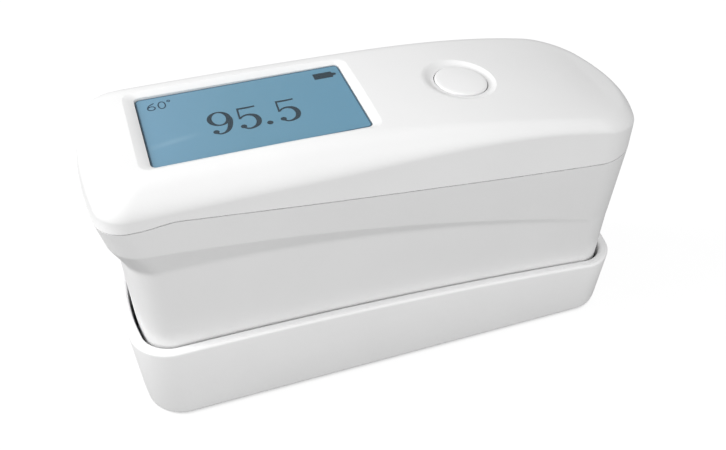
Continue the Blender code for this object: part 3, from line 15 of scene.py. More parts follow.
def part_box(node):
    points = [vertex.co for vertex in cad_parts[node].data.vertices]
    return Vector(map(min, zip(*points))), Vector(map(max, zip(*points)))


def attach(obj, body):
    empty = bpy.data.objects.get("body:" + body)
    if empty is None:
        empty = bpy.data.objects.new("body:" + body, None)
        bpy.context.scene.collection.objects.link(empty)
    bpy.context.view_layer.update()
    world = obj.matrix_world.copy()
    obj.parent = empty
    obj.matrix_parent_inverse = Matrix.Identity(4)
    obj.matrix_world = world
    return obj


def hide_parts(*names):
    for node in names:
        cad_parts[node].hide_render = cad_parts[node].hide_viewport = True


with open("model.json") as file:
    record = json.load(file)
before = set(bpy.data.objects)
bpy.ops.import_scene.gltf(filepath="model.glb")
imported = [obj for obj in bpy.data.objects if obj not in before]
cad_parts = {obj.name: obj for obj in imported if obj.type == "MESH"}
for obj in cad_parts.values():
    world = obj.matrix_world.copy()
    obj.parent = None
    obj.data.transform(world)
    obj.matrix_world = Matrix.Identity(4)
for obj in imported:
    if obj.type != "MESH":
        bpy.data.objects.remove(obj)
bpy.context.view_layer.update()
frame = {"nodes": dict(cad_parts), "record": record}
nodes = frame["nodes"]

# Sizes of the calibration base
BASE_LENGTH = 0.1033
BASE_WIDTH = 0.0342
BASE_CORNER = 0.0060
BASE_BOW = 0.00245
BASE_LEAN = 0.0486
BASE_WALL = 0.0020
BASE_FOOT = 0.0004
FOOT_ROUND = 0.0009
RIM_HEIGHT = 0.01936
RIM_FALL = 0.0534
RIM_SAG = 0.61
RIM_ROUND = 0.0006
TRAY_FLOOR = 0.0085
TRAY_FLOOR_THICKNESS = 0.0020
PAD_BORDER = 0.0030
GROOVES = 17
GROOVE_PITCH = 0.0052
GROOVE_HALF_WIDTH = 0.0006
GROOVE_HALF_LENGTH = 0.0100
GROOVE_DEPTH = 0.00025

# Sizes of the meter's shells
BODY_GAP = 0.00035
BODY_FOOT = 0.0088
SHELL_WALL = 0.0018
HEAD_LEFT = -0.0542
HEAD_RIGHT = 0.0485
HEAD_WIDTH = 0.0376
HEAD_CORNER_LEFT = 0.0047
HEAD_CORNER_RIGHT = 0.0064
HEAD_BOW_LEFT = 0.0019
HEAD_BOW_RIGHT = 0.0068
SIDE_LEAN_LEFT = 0.00046
SIDE_LEAN_RIGHT = 0.0014
PARTING_STEP_X = -0.0415
PARTING_STEP_RUN = 0.0060
PARTING_DROP = 0.00057
PARTING_GAP = 0.0002

# Undercut step of the flanks: the brow is its upper edge and the waist its lower one
FLANK_START = -0.050
FLANK_RUN = 0.090
WAIST_HALF_LEFT = 0.0163
WAIST_HALF_RIGHT = 0.0169
WAIST_IN_LEFT = 0.0038
WAIST_OUT_RIGHT = 0.0010
WAIST_CORNER_LEFT = 0.0050
WAIST_BOW_LEFT = 0.0024
WAIST_BOW_RIGHT = 0.0042
WAIST_ROUND = 0.0009
BROW_HALF_LEFT = 0.0184
BROW_HALF_RIGHT = 0.0171
BROW_IN_LEFT = 0.0012
BROW_OUT_RIGHT = 0.0003
BROW_BOW_RIGHT = 0.0055
BROW_ROUND = 0.0003
STEP_LEAST = 0.0004

# Heights along the meter, as a height at X = 0, a slope and a curvature
PARTING_CURVE = (0.04962, -0.1044, 0.21)
WAIST_CURVE = (0.0378, -0.1444, -1.7)
BROW_CURVE = (0.0402, -0.1994, -1.2)
WAIST_LIFT_LEFT = 0.0002
BROW_LIFT_LEFT = 0.0003

# Top surface: level on the left, then falling to the right, with a slight crown across
TOP_Z = 0.0616
TOP_LEVEL_END = -0.0255
TOP_FALL = 1.1
TOP_FALL_LATE = 58.6
CROWN_DROP = 0.0005
CROWN_WIDTH = 0.0330

# Rounding between the cover's side and its top, larger on the left
EDGE_ROUND_LEFT = 0.0055
EDGE_ROUND_RIGHT = 0.0023
EDGE_ROUND_START = -0.020
EDGE_ROUND_END = 0.040
END_IN_LEFT = 0.0004
END_IN_RIGHT = -0.0002

# The display, its frame and its marks
SCREEN_X = -0.02354
SCREEN_LENGTH = 0.0400
SCREEN_WIDTH = 0.0221
SCREEN_CORNER = 0.0009
SCREEN_Z = 0.06066
SCREEN_LEFT = SCREEN_X - 0.5 * SCREEN_LENGTH
WINDOW_GAP = 0.00015
FRAME_LEFT = 0.0022
FRAME_RIGHT = 0.0019
FRAME_SIDE = 0.0013
FRAME_CORNER = 0.0021
GLASS_THICKNESS = 0.0004
FILM_GAP = 0.00006
FACE_Z = SCREEN_Z - GLASS_THICKNESS - FILM_GAP
FACE_INSET = 0.00005
MARK_LOW = FACE_Z - 0.00010
MARK_HIGH = FACE_Z + 0.00003
# Painted reflection: place, turn and reach of a faint light streak low at the display's left
PAINTED_REFLECTION_PLACE = (-0.0390, -0.0041, FACE_Z)
PAINTED_REFLECTION_TURN = math.radians(11.0)
PAINTED_REFLECTION_REACH = (0.0062, 0.0011, 1.0)

# The button and its dish
BUTTON_X = 0.01883
BUTTON_TILT = math.radians(5.5)
CAP_RADIUS = 0.0053
CAP_EDGE = 0.00024
CAP_TOP = -0.00041
CAP_CROWN = 0.0002
SHAFT_LOW = -0.0040

# Charging socket in the right end
SOCKET_GAP = 0.0003
SOCKET_WALL = 0.0003
SOCKET_LIP = 0.00008
SOCKET_CORNER = 0.0008
SOCKET_BORE_CORNER = 0.0005
MOUTH_CORNER = 0.0009
MOUTH_FLARE = 0.0008
TONGUE_SHARE = 0.62
TONGUE_HALF = 0.00032
TONGUE_CORNER = 0.00006

# Studio and camera
ROOM_LIGHT = 0.52
FLOOR_TONE = 0.26
FLOOR_GLOW = 0.88
CONTACT_REACH = 0.0007
LIGHT_AIM = (-0.005, 0.0, 0.035)
KEY_PLACE = (-0.41, 0.10, 0.32)
KEY_SIZE = 0.30
KEY_POWER = 2.50
FILL_PLACE = (0.08, -0.50, 0.28)
FILL_SIZE = 0.50
FILL_POWER = 1.92
CAMERA_PLACE = (-0.048112, -0.134795, 0.153353)
CAMERA_TURN = (48.27995, -0.082105, -18.936797)
CAMERA_LENS = 43.688


# Curves that the shells follow


def mix(a, b, t):
    return a + (b - a) * t


def smoothstep(value, start, end):
    t = min(max((value - start) / (end - start), 0.0), 1.0)
    return t * t * (3.0 - 2.0 * t)


def along_flank(x):
    return min(max((x - FLANK_START) / FLANK_RUN, 0.0), 1.0)


def to_the_right(x):
    return smoothstep(x, EDGE_ROUND_START, EDGE_ROUND_END)


def height_along(curve, x):
    start, slope, bend = curve
    return start + slope * x + bend * x * x


def rim_z(x):
    return RIM_HEIGHT - RIM_FALL * x - RIM_SAG * x * x


def parting_z(x):
    height = height_along(PARTING_CURVE, max(x, PARTING_STEP_X))
    return height - PARTING_DROP * (1.0 - smoothstep(x, PARTING_STEP_X - PARTING_STEP_RUN, PARTING_STEP_X))


def waist_z(x):
    return height_along(WAIST_CURVE, x) + WAIST_LIFT_LEFT * (1.0 - along_flank(x))


def brow_z(x):
    height = height_along(BROW_CURVE, x) + BROW_LIFT_LEFT * (1.0 - along_flank(x))
    return max(height, waist_z(x) + STEP_LEAST)


def top_z(x):
    past = max(x - TOP_LEVEL_END, 0.0)
    return TOP_Z - TOP_FALL * past**2 - TOP_FALL_LATE * past**4


def crown_z(x, y):
    """Height of the cover's top surface."""
    u = (2.0 * x - HEAD_LEFT - HEAD_RIGHT) / (HEAD_RIGHT - HEAD_LEFT)
    v = 2.0 * y / CROWN_WIDTH
    drop = CROWN_DROP * (1.0 - (1.0 - min(v * v, 1.0)) * (1.0 - min(u**6, 1.0)))
    return top_z(x) - drop


def edge_round(x):
    return mix(EDGE_ROUND_LEFT, EDGE_ROUND_RIGHT, to_the_right(x))


def side_lean(x):
    return mix(SIDE_LEAN_LEFT, SIDE_LEAN_RIGHT, along_flank(x))


END_STEPS = 12
CORNER_STEPS = 12
SIDE_STEPS = 96


def plan(left, right, half, corner_left, corner_right, bow_left, bow_right):
    """Plan outline with bowed ends, counter-clockwise from the left apex."""
    front = []
    for i in range(END_STEPS):
        front.append((left, -(half - corner_left) * i / END_STEPS))
    for i in range(CORNER_STEPS):
        turn = math.pi + 0.5 * math.pi * i / CORNER_STEPS
        y = -half + corner_left * (1.0 + math.sin(turn))
        front.append((left + corner_left * (1.0 + math.cos(turn)), y))
    side = right - corner_right - left - corner_left
    for i in range(SIDE_STEPS):
        front.append((left + corner_left + side * i / SIDE_STEPS, -half))
    for i in range(CORNER_STEPS):
        turn = 1.5 * math.pi + 0.5 * math.pi * i / CORNER_STEPS
        y = -half + corner_right * (1.0 + math.sin(turn))
        front.append((right - corner_right * (1.0 - math.cos(turn)), y))
    for i in range(END_STEPS + 1):
        front.append((right, -(half - corner_right) * (1.0 - i / END_STEPS)))
    middle = 0.5 * (left + right)
    reach = 0.5 * (right - left)
    bowed = []
    for x, y in front:
        u = (x - middle) / reach
        bow = bow_right if u > 0.0 else bow_left
        bowed.append((x + bow * u * (1.0 - (y / half) ** 2), y))
    return bowed + [(x, -y) for x, y in reversed(bowed[1:-1])]


def widened(outline, half, new_half):
    return [(x, y / half * new_half(x)) for x, y in outline]


def pulled_in(outline, distance):
    """Plan outline moved inwards, square to itself."""
    moved = []
    for i, (x, y) in enumerate(outline):
        ax, ay = outline[i - 1]
        bx, by = outline[(i + 1) % len(outline)]
        run = math.hypot(bx - ax, by - ay)
        moved.append((x - distance * (by - ay) / run, y + distance * (bx - ax) / run))
    return moved


def at_height(outline, height):
    if callable(height):
        return [Vector((x, y, height(x))) for x, y in outline]
    return [Vector((x, y, height)) for x, y in outline]


def base_plan(z, inset=0.0):
    grow = BASE_LEAN * z - inset
    reach = 0.5 * BASE_LENGTH + grow
    corner = BASE_CORNER + grow
    return plan(-reach, reach, 0.5 * BASE_WIDTH + grow, corner, corner, BASE_BOW, BASE_BOW)


def body_plan(z):
    return base_plan(z, BASE_WALL + BODY_GAP)


def waist_plan():
    half = 0.0165
    left = HEAD_LEFT + WAIST_IN_LEFT
    right = HEAD_RIGHT + WAIST_OUT_RIGHT
    outline = plan(left, right, half, WAIST_CORNER_LEFT, HEAD_CORNER_RIGHT, WAIST_BOW_LEFT, WAIST_BOW_RIGHT)
    return widened(outline, half, lambda x: mix(WAIST_HALF_LEFT, WAIST_HALF_RIGHT, along_flank(x)))


def brow_plan():
    half = BROW_HALF_LEFT
    left = HEAD_LEFT + BROW_IN_LEFT
    right = HEAD_RIGHT + BROW_OUT_RIGHT
    outline = plan(left, right, half, HEAD_CORNER_LEFT, HEAD_CORNER_RIGHT, HEAD_BOW_LEFT, BROW_BOW_RIGHT)
    return widened(outline, half, lambda x: mix(BROW_HALF_LEFT, BROW_HALF_RIGHT, along_flank(x)))


def head_plan(inset_left=0.0, inset_right=0.0, inset_side=None):
    half = 0.5 * HEAD_WIDTH
    left = HEAD_LEFT + inset_left
    right = HEAD_RIGHT - inset_right
    outline = plan(left, right, half, HEAD_CORNER_LEFT, HEAD_CORNER_RIGHT, HEAD_BOW_LEFT, HEAD_BOW_RIGHT)
    if inset_side is None:
        return outline
    return widened(outline, half, lambda x: half - inset_side(x))


def rounded_rectangle(left, right, half, corner, steps=8):
    """Plan outline of a rounded rectangle, counter-clockwise."""
    outline = []
    middles = (
        (right - corner, half - corner),
        (left + corner, half - corner),
        (left + corner, -half + corner),
        (right - corner, -half + corner),
    )
    for quarter, (cx, cy) in enumerate(middles):
        for i in range(steps + 1):
            turn = 0.5 * math.pi * (quarter + i / steps)
            outline.append((cx + corner * math.cos(turn), cy + corner * math.sin(turn)))
    return outline


def disc(radius, steps=96):
    turns = [2.0 * math.pi * i / steps for i in range(steps)]
    return [(radius * math.cos(turn), radius * math.sin(turn)) for turn in turns]


# Modelling, as by hand


def object_mode():
    if bpy.context.object and bpy.context.object.mode != "OBJECT":
        bpy.ops.object.mode_set(mode="OBJECT")


def deselect():
    object_mode()
    bpy.ops.object.select_all(action="DESELECT")


def take(piece):
    deselect()
    piece.select_set(True)
    bpy.context.view_layer.objects.active = piece


def edit_with(piece, kind, chosen):
    """Open a piece in edit mode with only the chosen elements selected."""
    take(piece)
    bpy.ops.object.mode_set(mode="EDIT")
    bpy.ops.mesh.select_mode(type=kind)
    bpy.ops.mesh.select_all(action="DESELECT")
    bpy.ops.object.mode_set(mode="OBJECT")
    mesh = piece.data
    members = {"VERT": mesh.vertices, "EDGE": mesh.edges, "FACE": mesh.polygons}[kind]
    for member in members:
        if chosen(member):
            member.select = True
    bpy.ops.object.mode_set(mode="EDIT")


def apply(piece, step):
    take(piece)
    bpy.ops.object.modifier_apply(modifier=step.name)


def carve(piece, tool, operation="DIFFERENCE"):
    step = piece.modifiers.new("carve", "BOOLEAN")
    step.operation = operation
    step.solver = "MANIFOLD"
    step.object = tool
    apply(piece, step)
    bpy.data.objects.remove(tool, do_unlink=True)


def smooth(piece, angle=30.0):
    take(piece)
    bpy.ops.object.shade_smooth_by_angle(angle=math.radians(angle))


def face_outwards(piece):
    edit_with(piece, "FACE", lambda face: True)
    bpy.ops.mesh.normals_make_consistent(inside=False)
    bpy.ops.object.mode_set(mode="OBJECT")


def raised(name, sections):
    """Raise a ring level by level and draw each level to its section. Returns the piece and its rings."""
    count = len(sections[0])
    deselect()
    bpy.ops.mesh.primitive_circle_add(vertices=count, radius=1.0)
    piece = bpy.context.object
    piece.name = name
    piece.data.name = name
    bpy.ops.object.mode_set(mode="EDIT")
    bpy.ops.mesh.select_mode(type="VERT")
    bpy.ops.mesh.select_all(action="SELECT")
    for _ in sections[1:]:
        bpy.ops.mesh.extrude_region_move(TRANSFORM_OT_translate={"value": (0.0, 0.0, 1.0)})
    bpy.ops.object.mode_set(mode="OBJECT")
    rings = [[0] * count for _ in sections]
    for vertex in piece.data.vertices:
        level = round(vertex.co.z)
        step = round((math.atan2(vertex.co.y, vertex.co.x) / (2.0 * math.pi) - 0.25) * count) % count
        rings[level][step] = vertex.index
    for ring, section in zip(rings, sections):
        for index, point in zip(ring, section):
            piece.data.vertices[index].co = point
    return piece, rings


def close_ends(piece, *rings):
    for ring in rings:
        members = set(ring)
        edit_with(piece, "EDGE", lambda edge: set(edge.vertices) <= members)
        bpy.ops.mesh.edge_face_add()
        bpy.ops.object.mode_set(mode="OBJECT")
    face_outwards(piece)


def solid(name, sections):
    piece, rings = raised(name, sections)
    close_ends(piece, rings[0], rings[-1])
    return piece


def hoop(name, sections):
    """Closed wall: the sections run up its outside and down its inside, and the last joins the first."""
    piece, rings = raised(name, sections)
    members = set(rings[0]) | set(rings[-1])
    first = set(rings[0])

    def on_one_ring(edge):
        a, b = edge.vertices
        return a in members and b in members and (a in first) == (b in first)

    edit_with(piece, "EDGE", on_one_ring)
    bpy.ops.mesh.bridge_edge_loops()
    bpy.ops.object.mode_set(mode="OBJECT")
    face_outwards(piece)
    return piece


def rounded_profile(points, radii, steps=6):
    """Polyline in space with its inner corners rounded, and a point that holds the straight on each side."""
    path = [points[0]]
    for before, corner, after, radius in zip(points, points[1:], points[2:], radii):
        back = before - corner
        on = after - corner
        reach = min(radius, 0.45 * back.length, 0.45 * on.length)
        start = corner + back.normalized() * reach
        end = corner + on.normalized() * reach
        path.append(corner + back.normalized() * 1.08 * reach)
        for i in range(steps + 1):
            t = i / steps
            path.append(start * (1.0 - t) ** 2 + corner * (2.0 * t * (1.0 - t)) + end * t * t)
        path.append(corner + on.normalized() * 1.08 * reach)
    path.append(points[-1])
    return path


def rounded_levels(levels, radii, steps=6):
    """Stack of sections with the edges between them rounded."""
    columns = [rounded_profile(list(column), radii, steps) for column in zip(*levels)]
    return [list(row) for row in zip(*columns)]


# Finishes


def shader_of(name):
    made = bpy.data.materials.new(name)
    made.use_nodes = True
    return made, made.node_tree, made.node_tree.nodes["Principled BSDF"]


def object_place(tree):
    return tree.nodes.new("ShaderNodeTexCoord").outputs["Object"]


def noise(tree, place, scale, detail=3.0, rough=0.55):
    made = tree.nodes.new("ShaderNodeTexNoise")
    made.inputs["Scale"].default_value = scale
    made.inputs["Detail"].default_value = detail
    made.inputs["Roughness"].default_value = rough
    tree.links.new(place, made.inputs["Vector"])
    return made.outputs["Fac"]


def ranged(tree, value, low, high, start=0.3, end=0.7):
    made = tree.nodes.new("ShaderNodeMapRange")
    made.inputs["From Min"].default_value = start
    made.inputs["From Max"].default_value = end
    made.inputs["To Min"].default_value = low
    made.inputs["To Max"].default_value = high
    tree.links.new(value, made.inputs["Value"])
    return made.outputs["Result"]


def toned(tree, value, *stops):
    made = tree.nodes.new("ShaderNodeValToRGB")
    ramp = made.color_ramp
    while len(ramp.elements) < len(stops):
        ramp.elements.new(0.5)
    for element, (position, colour) in zip(ramp.elements, stops):
        element.position = position
        element.color = (*colour, 1.0)
    tree.links.new(value, made.inputs["Fac"])
    return made.outputs["Color"]


def grained(tree, shader, height, strength, distance):
    made = tree.nodes.new("ShaderNodeBump")
    made.inputs["Strength"].default_value = strength
    made.inputs["Distance"].default_value = distance
    tree.links.new(height, made.inputs["Height"])
    tree.links.new(made.outputs["Normal"], shader.inputs["Normal"])


def moulded_plastic(name, colour, roughness, variation=0.02, grain=1800.0, depth=0.00003):
    """Moulded plastic: fine spark grain, a slow drift of tone and uneven gloss."""
    made, tree, shader = shader_of(name)
    place = object_place(tree)
    drift = noise(tree, place, 60.0, 2.0)
    dark = tuple(c * (1.0 - variation) for c in colour)
    tree.links.new(toned(tree, drift, (0.3, dark), (0.7, colour)), shader.inputs["Base Color"])
    fine = noise(tree, place, grain, 2.0)
    gloss = ranged(tree, fine, roughness - 0.04, roughness + 0.04)
    tree.links.new(gloss, shader.inputs["Roughness"])
    grained(tree, shader, fine, 0.25, depth)
    return made


def brushed_metal(name, colour, roughness):
    made, tree, shader = shader_of(name)
    shader.inputs["Metallic"].default_value = 1.0
    place = object_place(tree)
    fine = noise(tree, place, 4000.0, 2.0)
    dark = tuple(c * 0.8 for c in colour)
    streaks = noise(tree, place, 700.0)
    tree.links.new(toned(tree, streaks, (0.3, dark), (0.7, colour)), shader.inputs["Base Color"])
    tree.links.new(ranged(tree, fine, roughness - 0.08, roughness + 0.08), shader.inputs["Roughness"])
    grained(tree, shader, fine, 0.3, 0.00001)
    return made


def solder_mask(name):
    """Green lacquer with copper tracks showing through as lighter lines."""
    made, tree, shader = shader_of(name)
    place = object_place(tree)
    cells = tree.nodes.new("ShaderNodeTexBrick")
    cells.inputs["Scale"].default_value = 320.0
    cells.inputs["Mortar Size"].default_value = 0.06
    cells.inputs["Color1"].default_value = (0.012, 0.10, 0.045, 1.0)
    cells.inputs["Color2"].default_value = (0.016, 0.13, 0.055, 1.0)
    cells.inputs["Mortar"].default_value = (0.05, 0.26, 0.10, 1.0)
    tree.links.new(place, cells.inputs["Vector"])
    tree.links.new(cells.outputs["Color"], shader.inputs["Base Color"])
    tree.links.new(ranged(tree, noise(tree, place, 900.0), 0.3, 0.45), shader.inputs["Roughness"])
    grained(tree, shader, cells.outputs["Fac"], 0.3, 0.00004)
    return made


def painted_reflection_streak(tree, place):
    """Painted reflection: a long soft light streak low at the display's left, painted into the film's colour.
    """
    spot = tree.nodes.new("ShaderNodeMapping")
    spot.vector_type = "TEXTURE"
    spot.inputs["Location"].default_value = PAINTED_REFLECTION_PLACE
    spot.inputs["Rotation"].default_value = (0.0, 0.0, PAINTED_REFLECTION_TURN)
    spot.inputs["Scale"].default_value = PAINTED_REFLECTION_REACH
    tree.links.new(place, spot.inputs["Vector"])
    fade = tree.nodes.new("ShaderNodeTexGradient")
    fade.gradient_type = "SPHERICAL"
    tree.links.new(spot.outputs["Vector"], fade.inputs["Vector"])
    return ranged(tree, fade.outputs["Fac"], 0.0, 0.24, 0.0, 1.0)


def display_face(name):
    """Blue display film, lit from behind, with a fine grid of pixels and painted light: its tone is lighter
    at the left and falls to the right.
    """
    made, tree, shader = shader_of(name)
    place = object_place(tree)
    split = tree.nodes.new("ShaderNodeSeparateXYZ")
    tree.links.new(place, split.inputs["Vector"])
    # Painted light: the film's colour is lighter on its left part and darker towards the right
    along = ranged(tree, split.outputs["X"], 0.0, 1.0, SCREEN_LEFT, SCREEN_LEFT + SCREEN_LENGTH)
    first = (0.127, 0.272, 0.388)
    second = (0.105, 0.250, 0.352)
    third = (0.092, 0.243, 0.355)
    blue = toned(tree, along, (0.0, first), (0.45, second), (1.0, third))
    cells = tree.nodes.new("ShaderNodeTexBrick")
    cells.offset = 0.0
    cells.inputs["Scale"].default_value = 1.0
    cells.inputs["Brick Width"].default_value = 0.00032
    cells.inputs["Row Height"].default_value = 0.00032
    cells.inputs["Mortar Size"].default_value = 0.00002
    cells.inputs["Color1"].default_value = (1.0, 1.0, 1.0, 1.0)
    cells.inputs["Color2"].default_value = (0.985, 0.985, 0.985, 1.0)
    cells.inputs["Mortar"].default_value = (0.94, 0.94, 0.94, 1.0)
    tree.links.new(place, cells.inputs["Vector"])
    blend = tree.nodes.new("ShaderNodeMix")
    blend.data_type = "RGBA"
    blend.blend_type = "MULTIPLY"
    blend.inputs["Factor"].default_value = 1.0
    tree.links.new(blue, blend.inputs["A"])
    tree.links.new(cells.outputs["Color"], blend.inputs["B"])
    # Painted reflection: in the streak the film's colour is lifted towards a pale blue
    with_painted_reflection = tree.nodes.new("ShaderNodeMix")
    with_painted_reflection.data_type = "RGBA"
    with_painted_reflection.inputs["B"].default_value = (0.30, 0.45, 0.55, 1.0)
    tree.links.new(painted_reflection_streak(tree, place), with_painted_reflection.inputs["Factor"])
    tree.links.new(blend.outputs["Result"], with_painted_reflection.inputs["A"])
    tree.links.new(with_painted_reflection.outputs["Result"], shader.inputs["Base Color"])
    shader.inputs["Roughness"].default_value = 0.35
    shader.inputs["Specular IOR Level"].default_value = 0.2
    return made


def display_ink(name, colour):
    """Dark segments of the display, and the painted shade at its edge: flat, with a faint unevenness from
    cell to cell.
    """
    made, tree, shader = shader_of(name)
    drift = noise(tree, object_place(tree), 1200.0, 2.0)
    light = tuple(c * 1.25 for c in colour)
    tree.links.new(toned(tree, drift, (0.3, colour), (0.7, light)), shader.inputs["Base Color"])
    tree.links.new(ranged(tree, drift, 0.5, 0.6), shader.inputs["Roughness"])
    shader.inputs["Specular IOR Level"].default_value = 0.0
    return made


def clear_plate(name, tint, alpha, roughness=0.04):
    made, tree, shader = shader_of(name)
    shader.inputs["Alpha"].default_value = alpha
    place = object_place(tree)
    drift = noise(tree, place, 90.0)
    dark = tuple(c * 0.97 for c in tint)
    tree.links.new(toned(tree, drift, (0.3, dark), (0.7, tint)), shader.inputs["Base Color"])
    tree.links.new(ranged(tree, drift, roughness, roughness + 0.03), shader.inputs["Roughness"])
    return made


def soft_rubber(name, colour):
    made, tree, shader = shader_of(name)
    place = object_place(tree)
    fine = noise(tree, place, 2600.0, 3.0)
    light = tuple(c * 1.5 + 0.01 for c in colour)
    patches = noise(tree, place, 240.0)
    tree.links.new(toned(tree, patches, (0.3, colour), (0.75, light)), shader.inputs["Base Color"])
    tree.links.new(ranged(tree, fine, 0.75, 0.95), shader.inputs["Roughness"])
    grained(tree, shader, fine, 0.5, 0.00005)
    return made


white_shell = moulded_plastic("white_shell", (0.78, 0.78, 0.78), 0.42)
# Painted light: the base gets a lighter white than the shell, so that its walls, which get less light, come
# out as bright as the flank
white_base_painted_lighter = moulded_plastic("white_base_painted_lighter", (0.86, 0.86, 0.86), 0.45)
white_cap = moulded_plastic("white_cap", (0.79, 0.79, 0.79), 0.36, grain=2400.0)
black_body = moulded_plastic("black_body", (0.03, 0.03, 0.032), 0.55, variation=0.2)
ink = display_ink("display_ink", (0.002, 0.010, 0.018))
thin_ink = display_ink("thin_display_ink", (0.008, 0.026, 0.050))
# Painted shade: a dark line round the screen's edge stands in for the shade where the glass's edge meets the
# frame
glass_edge_shade = display_ink("glass_edge_shade", (0.042, 0.095, 0.145))
blue_face = display_face("blue_face")
glass = clear_plate("display_glass", (0.62, 0.76, 0.84), 0.04)
optics = clear_plate("optics_glass", (0.85, 0.92, 0.95), 0.30, 0.02)
black_glass = moulded_plastic("black_glass", (0.008, 0.008, 0.009), 0.08, variation=0.1, depth=0.000002)
plated = brushed_metal("plated_steel", (0.60, 0.60, 0.61), 0.28)
green_board = solder_mask("green_board")
foam = soft_rubber("black_foam", (0.06, 0.06, 0.06))
rubber = soft_rubber("grey_rubber", (0.045, 0.045, 0.047))
cable_skin = moulded_plastic("cable_skin", (0.03, 0.03, 0.03), 0.4, variation=0.2)
cream = moulded_plastic("cream_plug", (0.72, 0.69, 0.58), 0.45)
amber_film = moulded_plastic("amber_film", (0.42, 0.21, 0.06), 0.3, variation=0.15)
cell_foil = brushed_metal("cell_foil", (0.62, 0.64, 0.67), 0.38)
light_guide = moulded_plastic("light_guide", (0.78, 0.82, 0.86), 0.2)
warm_lamp = moulded_plastic("warm_lamp", (0.85, 0.83, 0.70), 0.15)

NODE_FINISHES = {
    "white_plastic": white_base_painted_lighter,
    "black_plastic": black_body,
    "circuit_board": green_board,
    "steel": plated,
    "clear_glass": optics,
    "black_glass": black_glass,
    "display_blue": blue_face,
    "light_guide": light_guide,
    "flex": amber_film,
    "lamp": warm_lamp,
    "foil": cell_foil,
    "rubber": rubber,
    "foam": foam,
    "lead": cable_skin,
    "plug": cream,
    "plunger": black_body,
}

for row in frame["record"]["subparts"]:
    node = nodes[row["node"]]
    node.data.materials.clear()
    node.data.materials.append(NODE_FINISHES[row["material_slot"]])


def hand_over(piece, look, body, slot, *replaced):
    piece.data.materials.clear()
    piece.data.materials.append(look)
    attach(piece, body)
    if replaced:
        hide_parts(*replaced)


# Upper cover


def flatten_rim(piece, at, reach=0.0006):
    for vertex in piece.data.vertices:
        target = at(vertex.co.x)
        if abs(vertex.co.z - target) < reach:
            vertex.co.z = target


def side_inset(x):
    """How far the cover's side leans in up to where its edge round starts."""
    height = top_z(x) - edge_round(x) - parting_z(x)
    return min(side_lean(x), 0.06 * height)


def round_in(t):
    """Share of the edge round's run at a place along it."""
    return 1.2 * (1.0 - t) * t * t + t**3


def round_up(x, t):
    """Share of its rise: it turns in tightly from the side and then flattens slowly."""
    hold = mix(0.28, 0.50, to_the_right(x))
    return 3.0 * (1.0 - t) ** 2 * t * hold + 3.0 * (1.0 - t) * t * t + t**3


def cover_rings():
    """Sections of the cover: its foot, a ring that holds the side straight, and its edge round."""
    rings = [at_height(head_plan(), lambda x: parting_z(x) + 0.5 * PARTING_GAP)]
    last_left = END_IN_LEFT + EDGE_ROUND_LEFT
    last_right = END_IN_RIGHT + EDGE_ROUND_RIGHT
    last = head_plan(last_left, last_right, lambda x: side_lean(x) + edge_round(x))
    steps = 14
    for i in range(-1, steps + 1):
        t = (max(i, 0) / steps) ** 1.3
        outline = head_plan(
            END_IN_LEFT + EDGE_ROUND_LEFT * round_in(t),
            END_IN_RIGHT + EDGE_ROUND_RIGHT * round_in(t),
            lambda x: mix(side_inset(x), side_lean(x) + edge_round(x), round_in(t)),
        )
        ring = []
        for (x, y), (cx, cy) in zip(outline, last):
            fall = top_z(cx) - crown_z(cx, cy)
            drop = 1.0 - round_up(x, t) + (0.03 if i < 0 else 0.0)
            ring.append(Vector((x, y, top_z(x) - fall - edge_round(x) * drop)))
        rings.append(ring)
    return rings


def close_crown(piece, ring, strips):
    """Bridge the front half of the top ring to its back half and lift the strips to the crown."""
    half = len(ring) // 2
    front = set(ring[1:half])
    back = set(ring[half + 1 :])
    known = len(piece.data.vertices)
    edit_with(piece, "EDGE", lambda edge: set(edge.vertices) <= front or set(edge.vertices) <= back)
    bpy.ops.mesh.bridge_edge_loops(number_cuts=strips - 1, interpolation="LINEAR", smoothness=0.0)
    bpy.ops.object.mode_set(mode="OBJECT")
    for vertex in piece.data.vertices[known:]:
        vertex.co.z = crown_z(vertex.co.x, vertex.co.y)
    members = set(ring) | set(range(known, len(piece.data.vertices)))
    edit_with(piece, "VERT", lambda vertex: vertex.index in members)
    bpy.ops.mesh.fill_holes(sides=strips + 4)
    bpy.ops.object.mode_set(mode="OBJECT")
    edit_with(piece, "FACE", lambda face: len(face.vertices) > 4)
    bpy.ops.mesh.quads_convert_to_tris()
    bpy.ops.object.mode_set(mode="OBJECT")
    face_outwards(piece)


def divided(outline, steps=10):
    """Outline with points along its long sides."""
    closed = outline + outline[:1]
    made = []
    for (ax, ay), (bx, by) in zip(closed, closed[1:]):
        made.append((ax, ay))
        if math.hypot(bx - ax, by - ay) > 0.005:
            made += [(mix(ax, bx, i / steps), mix(ay, by, i / steps)) for i in range(1, steps)]
    return made


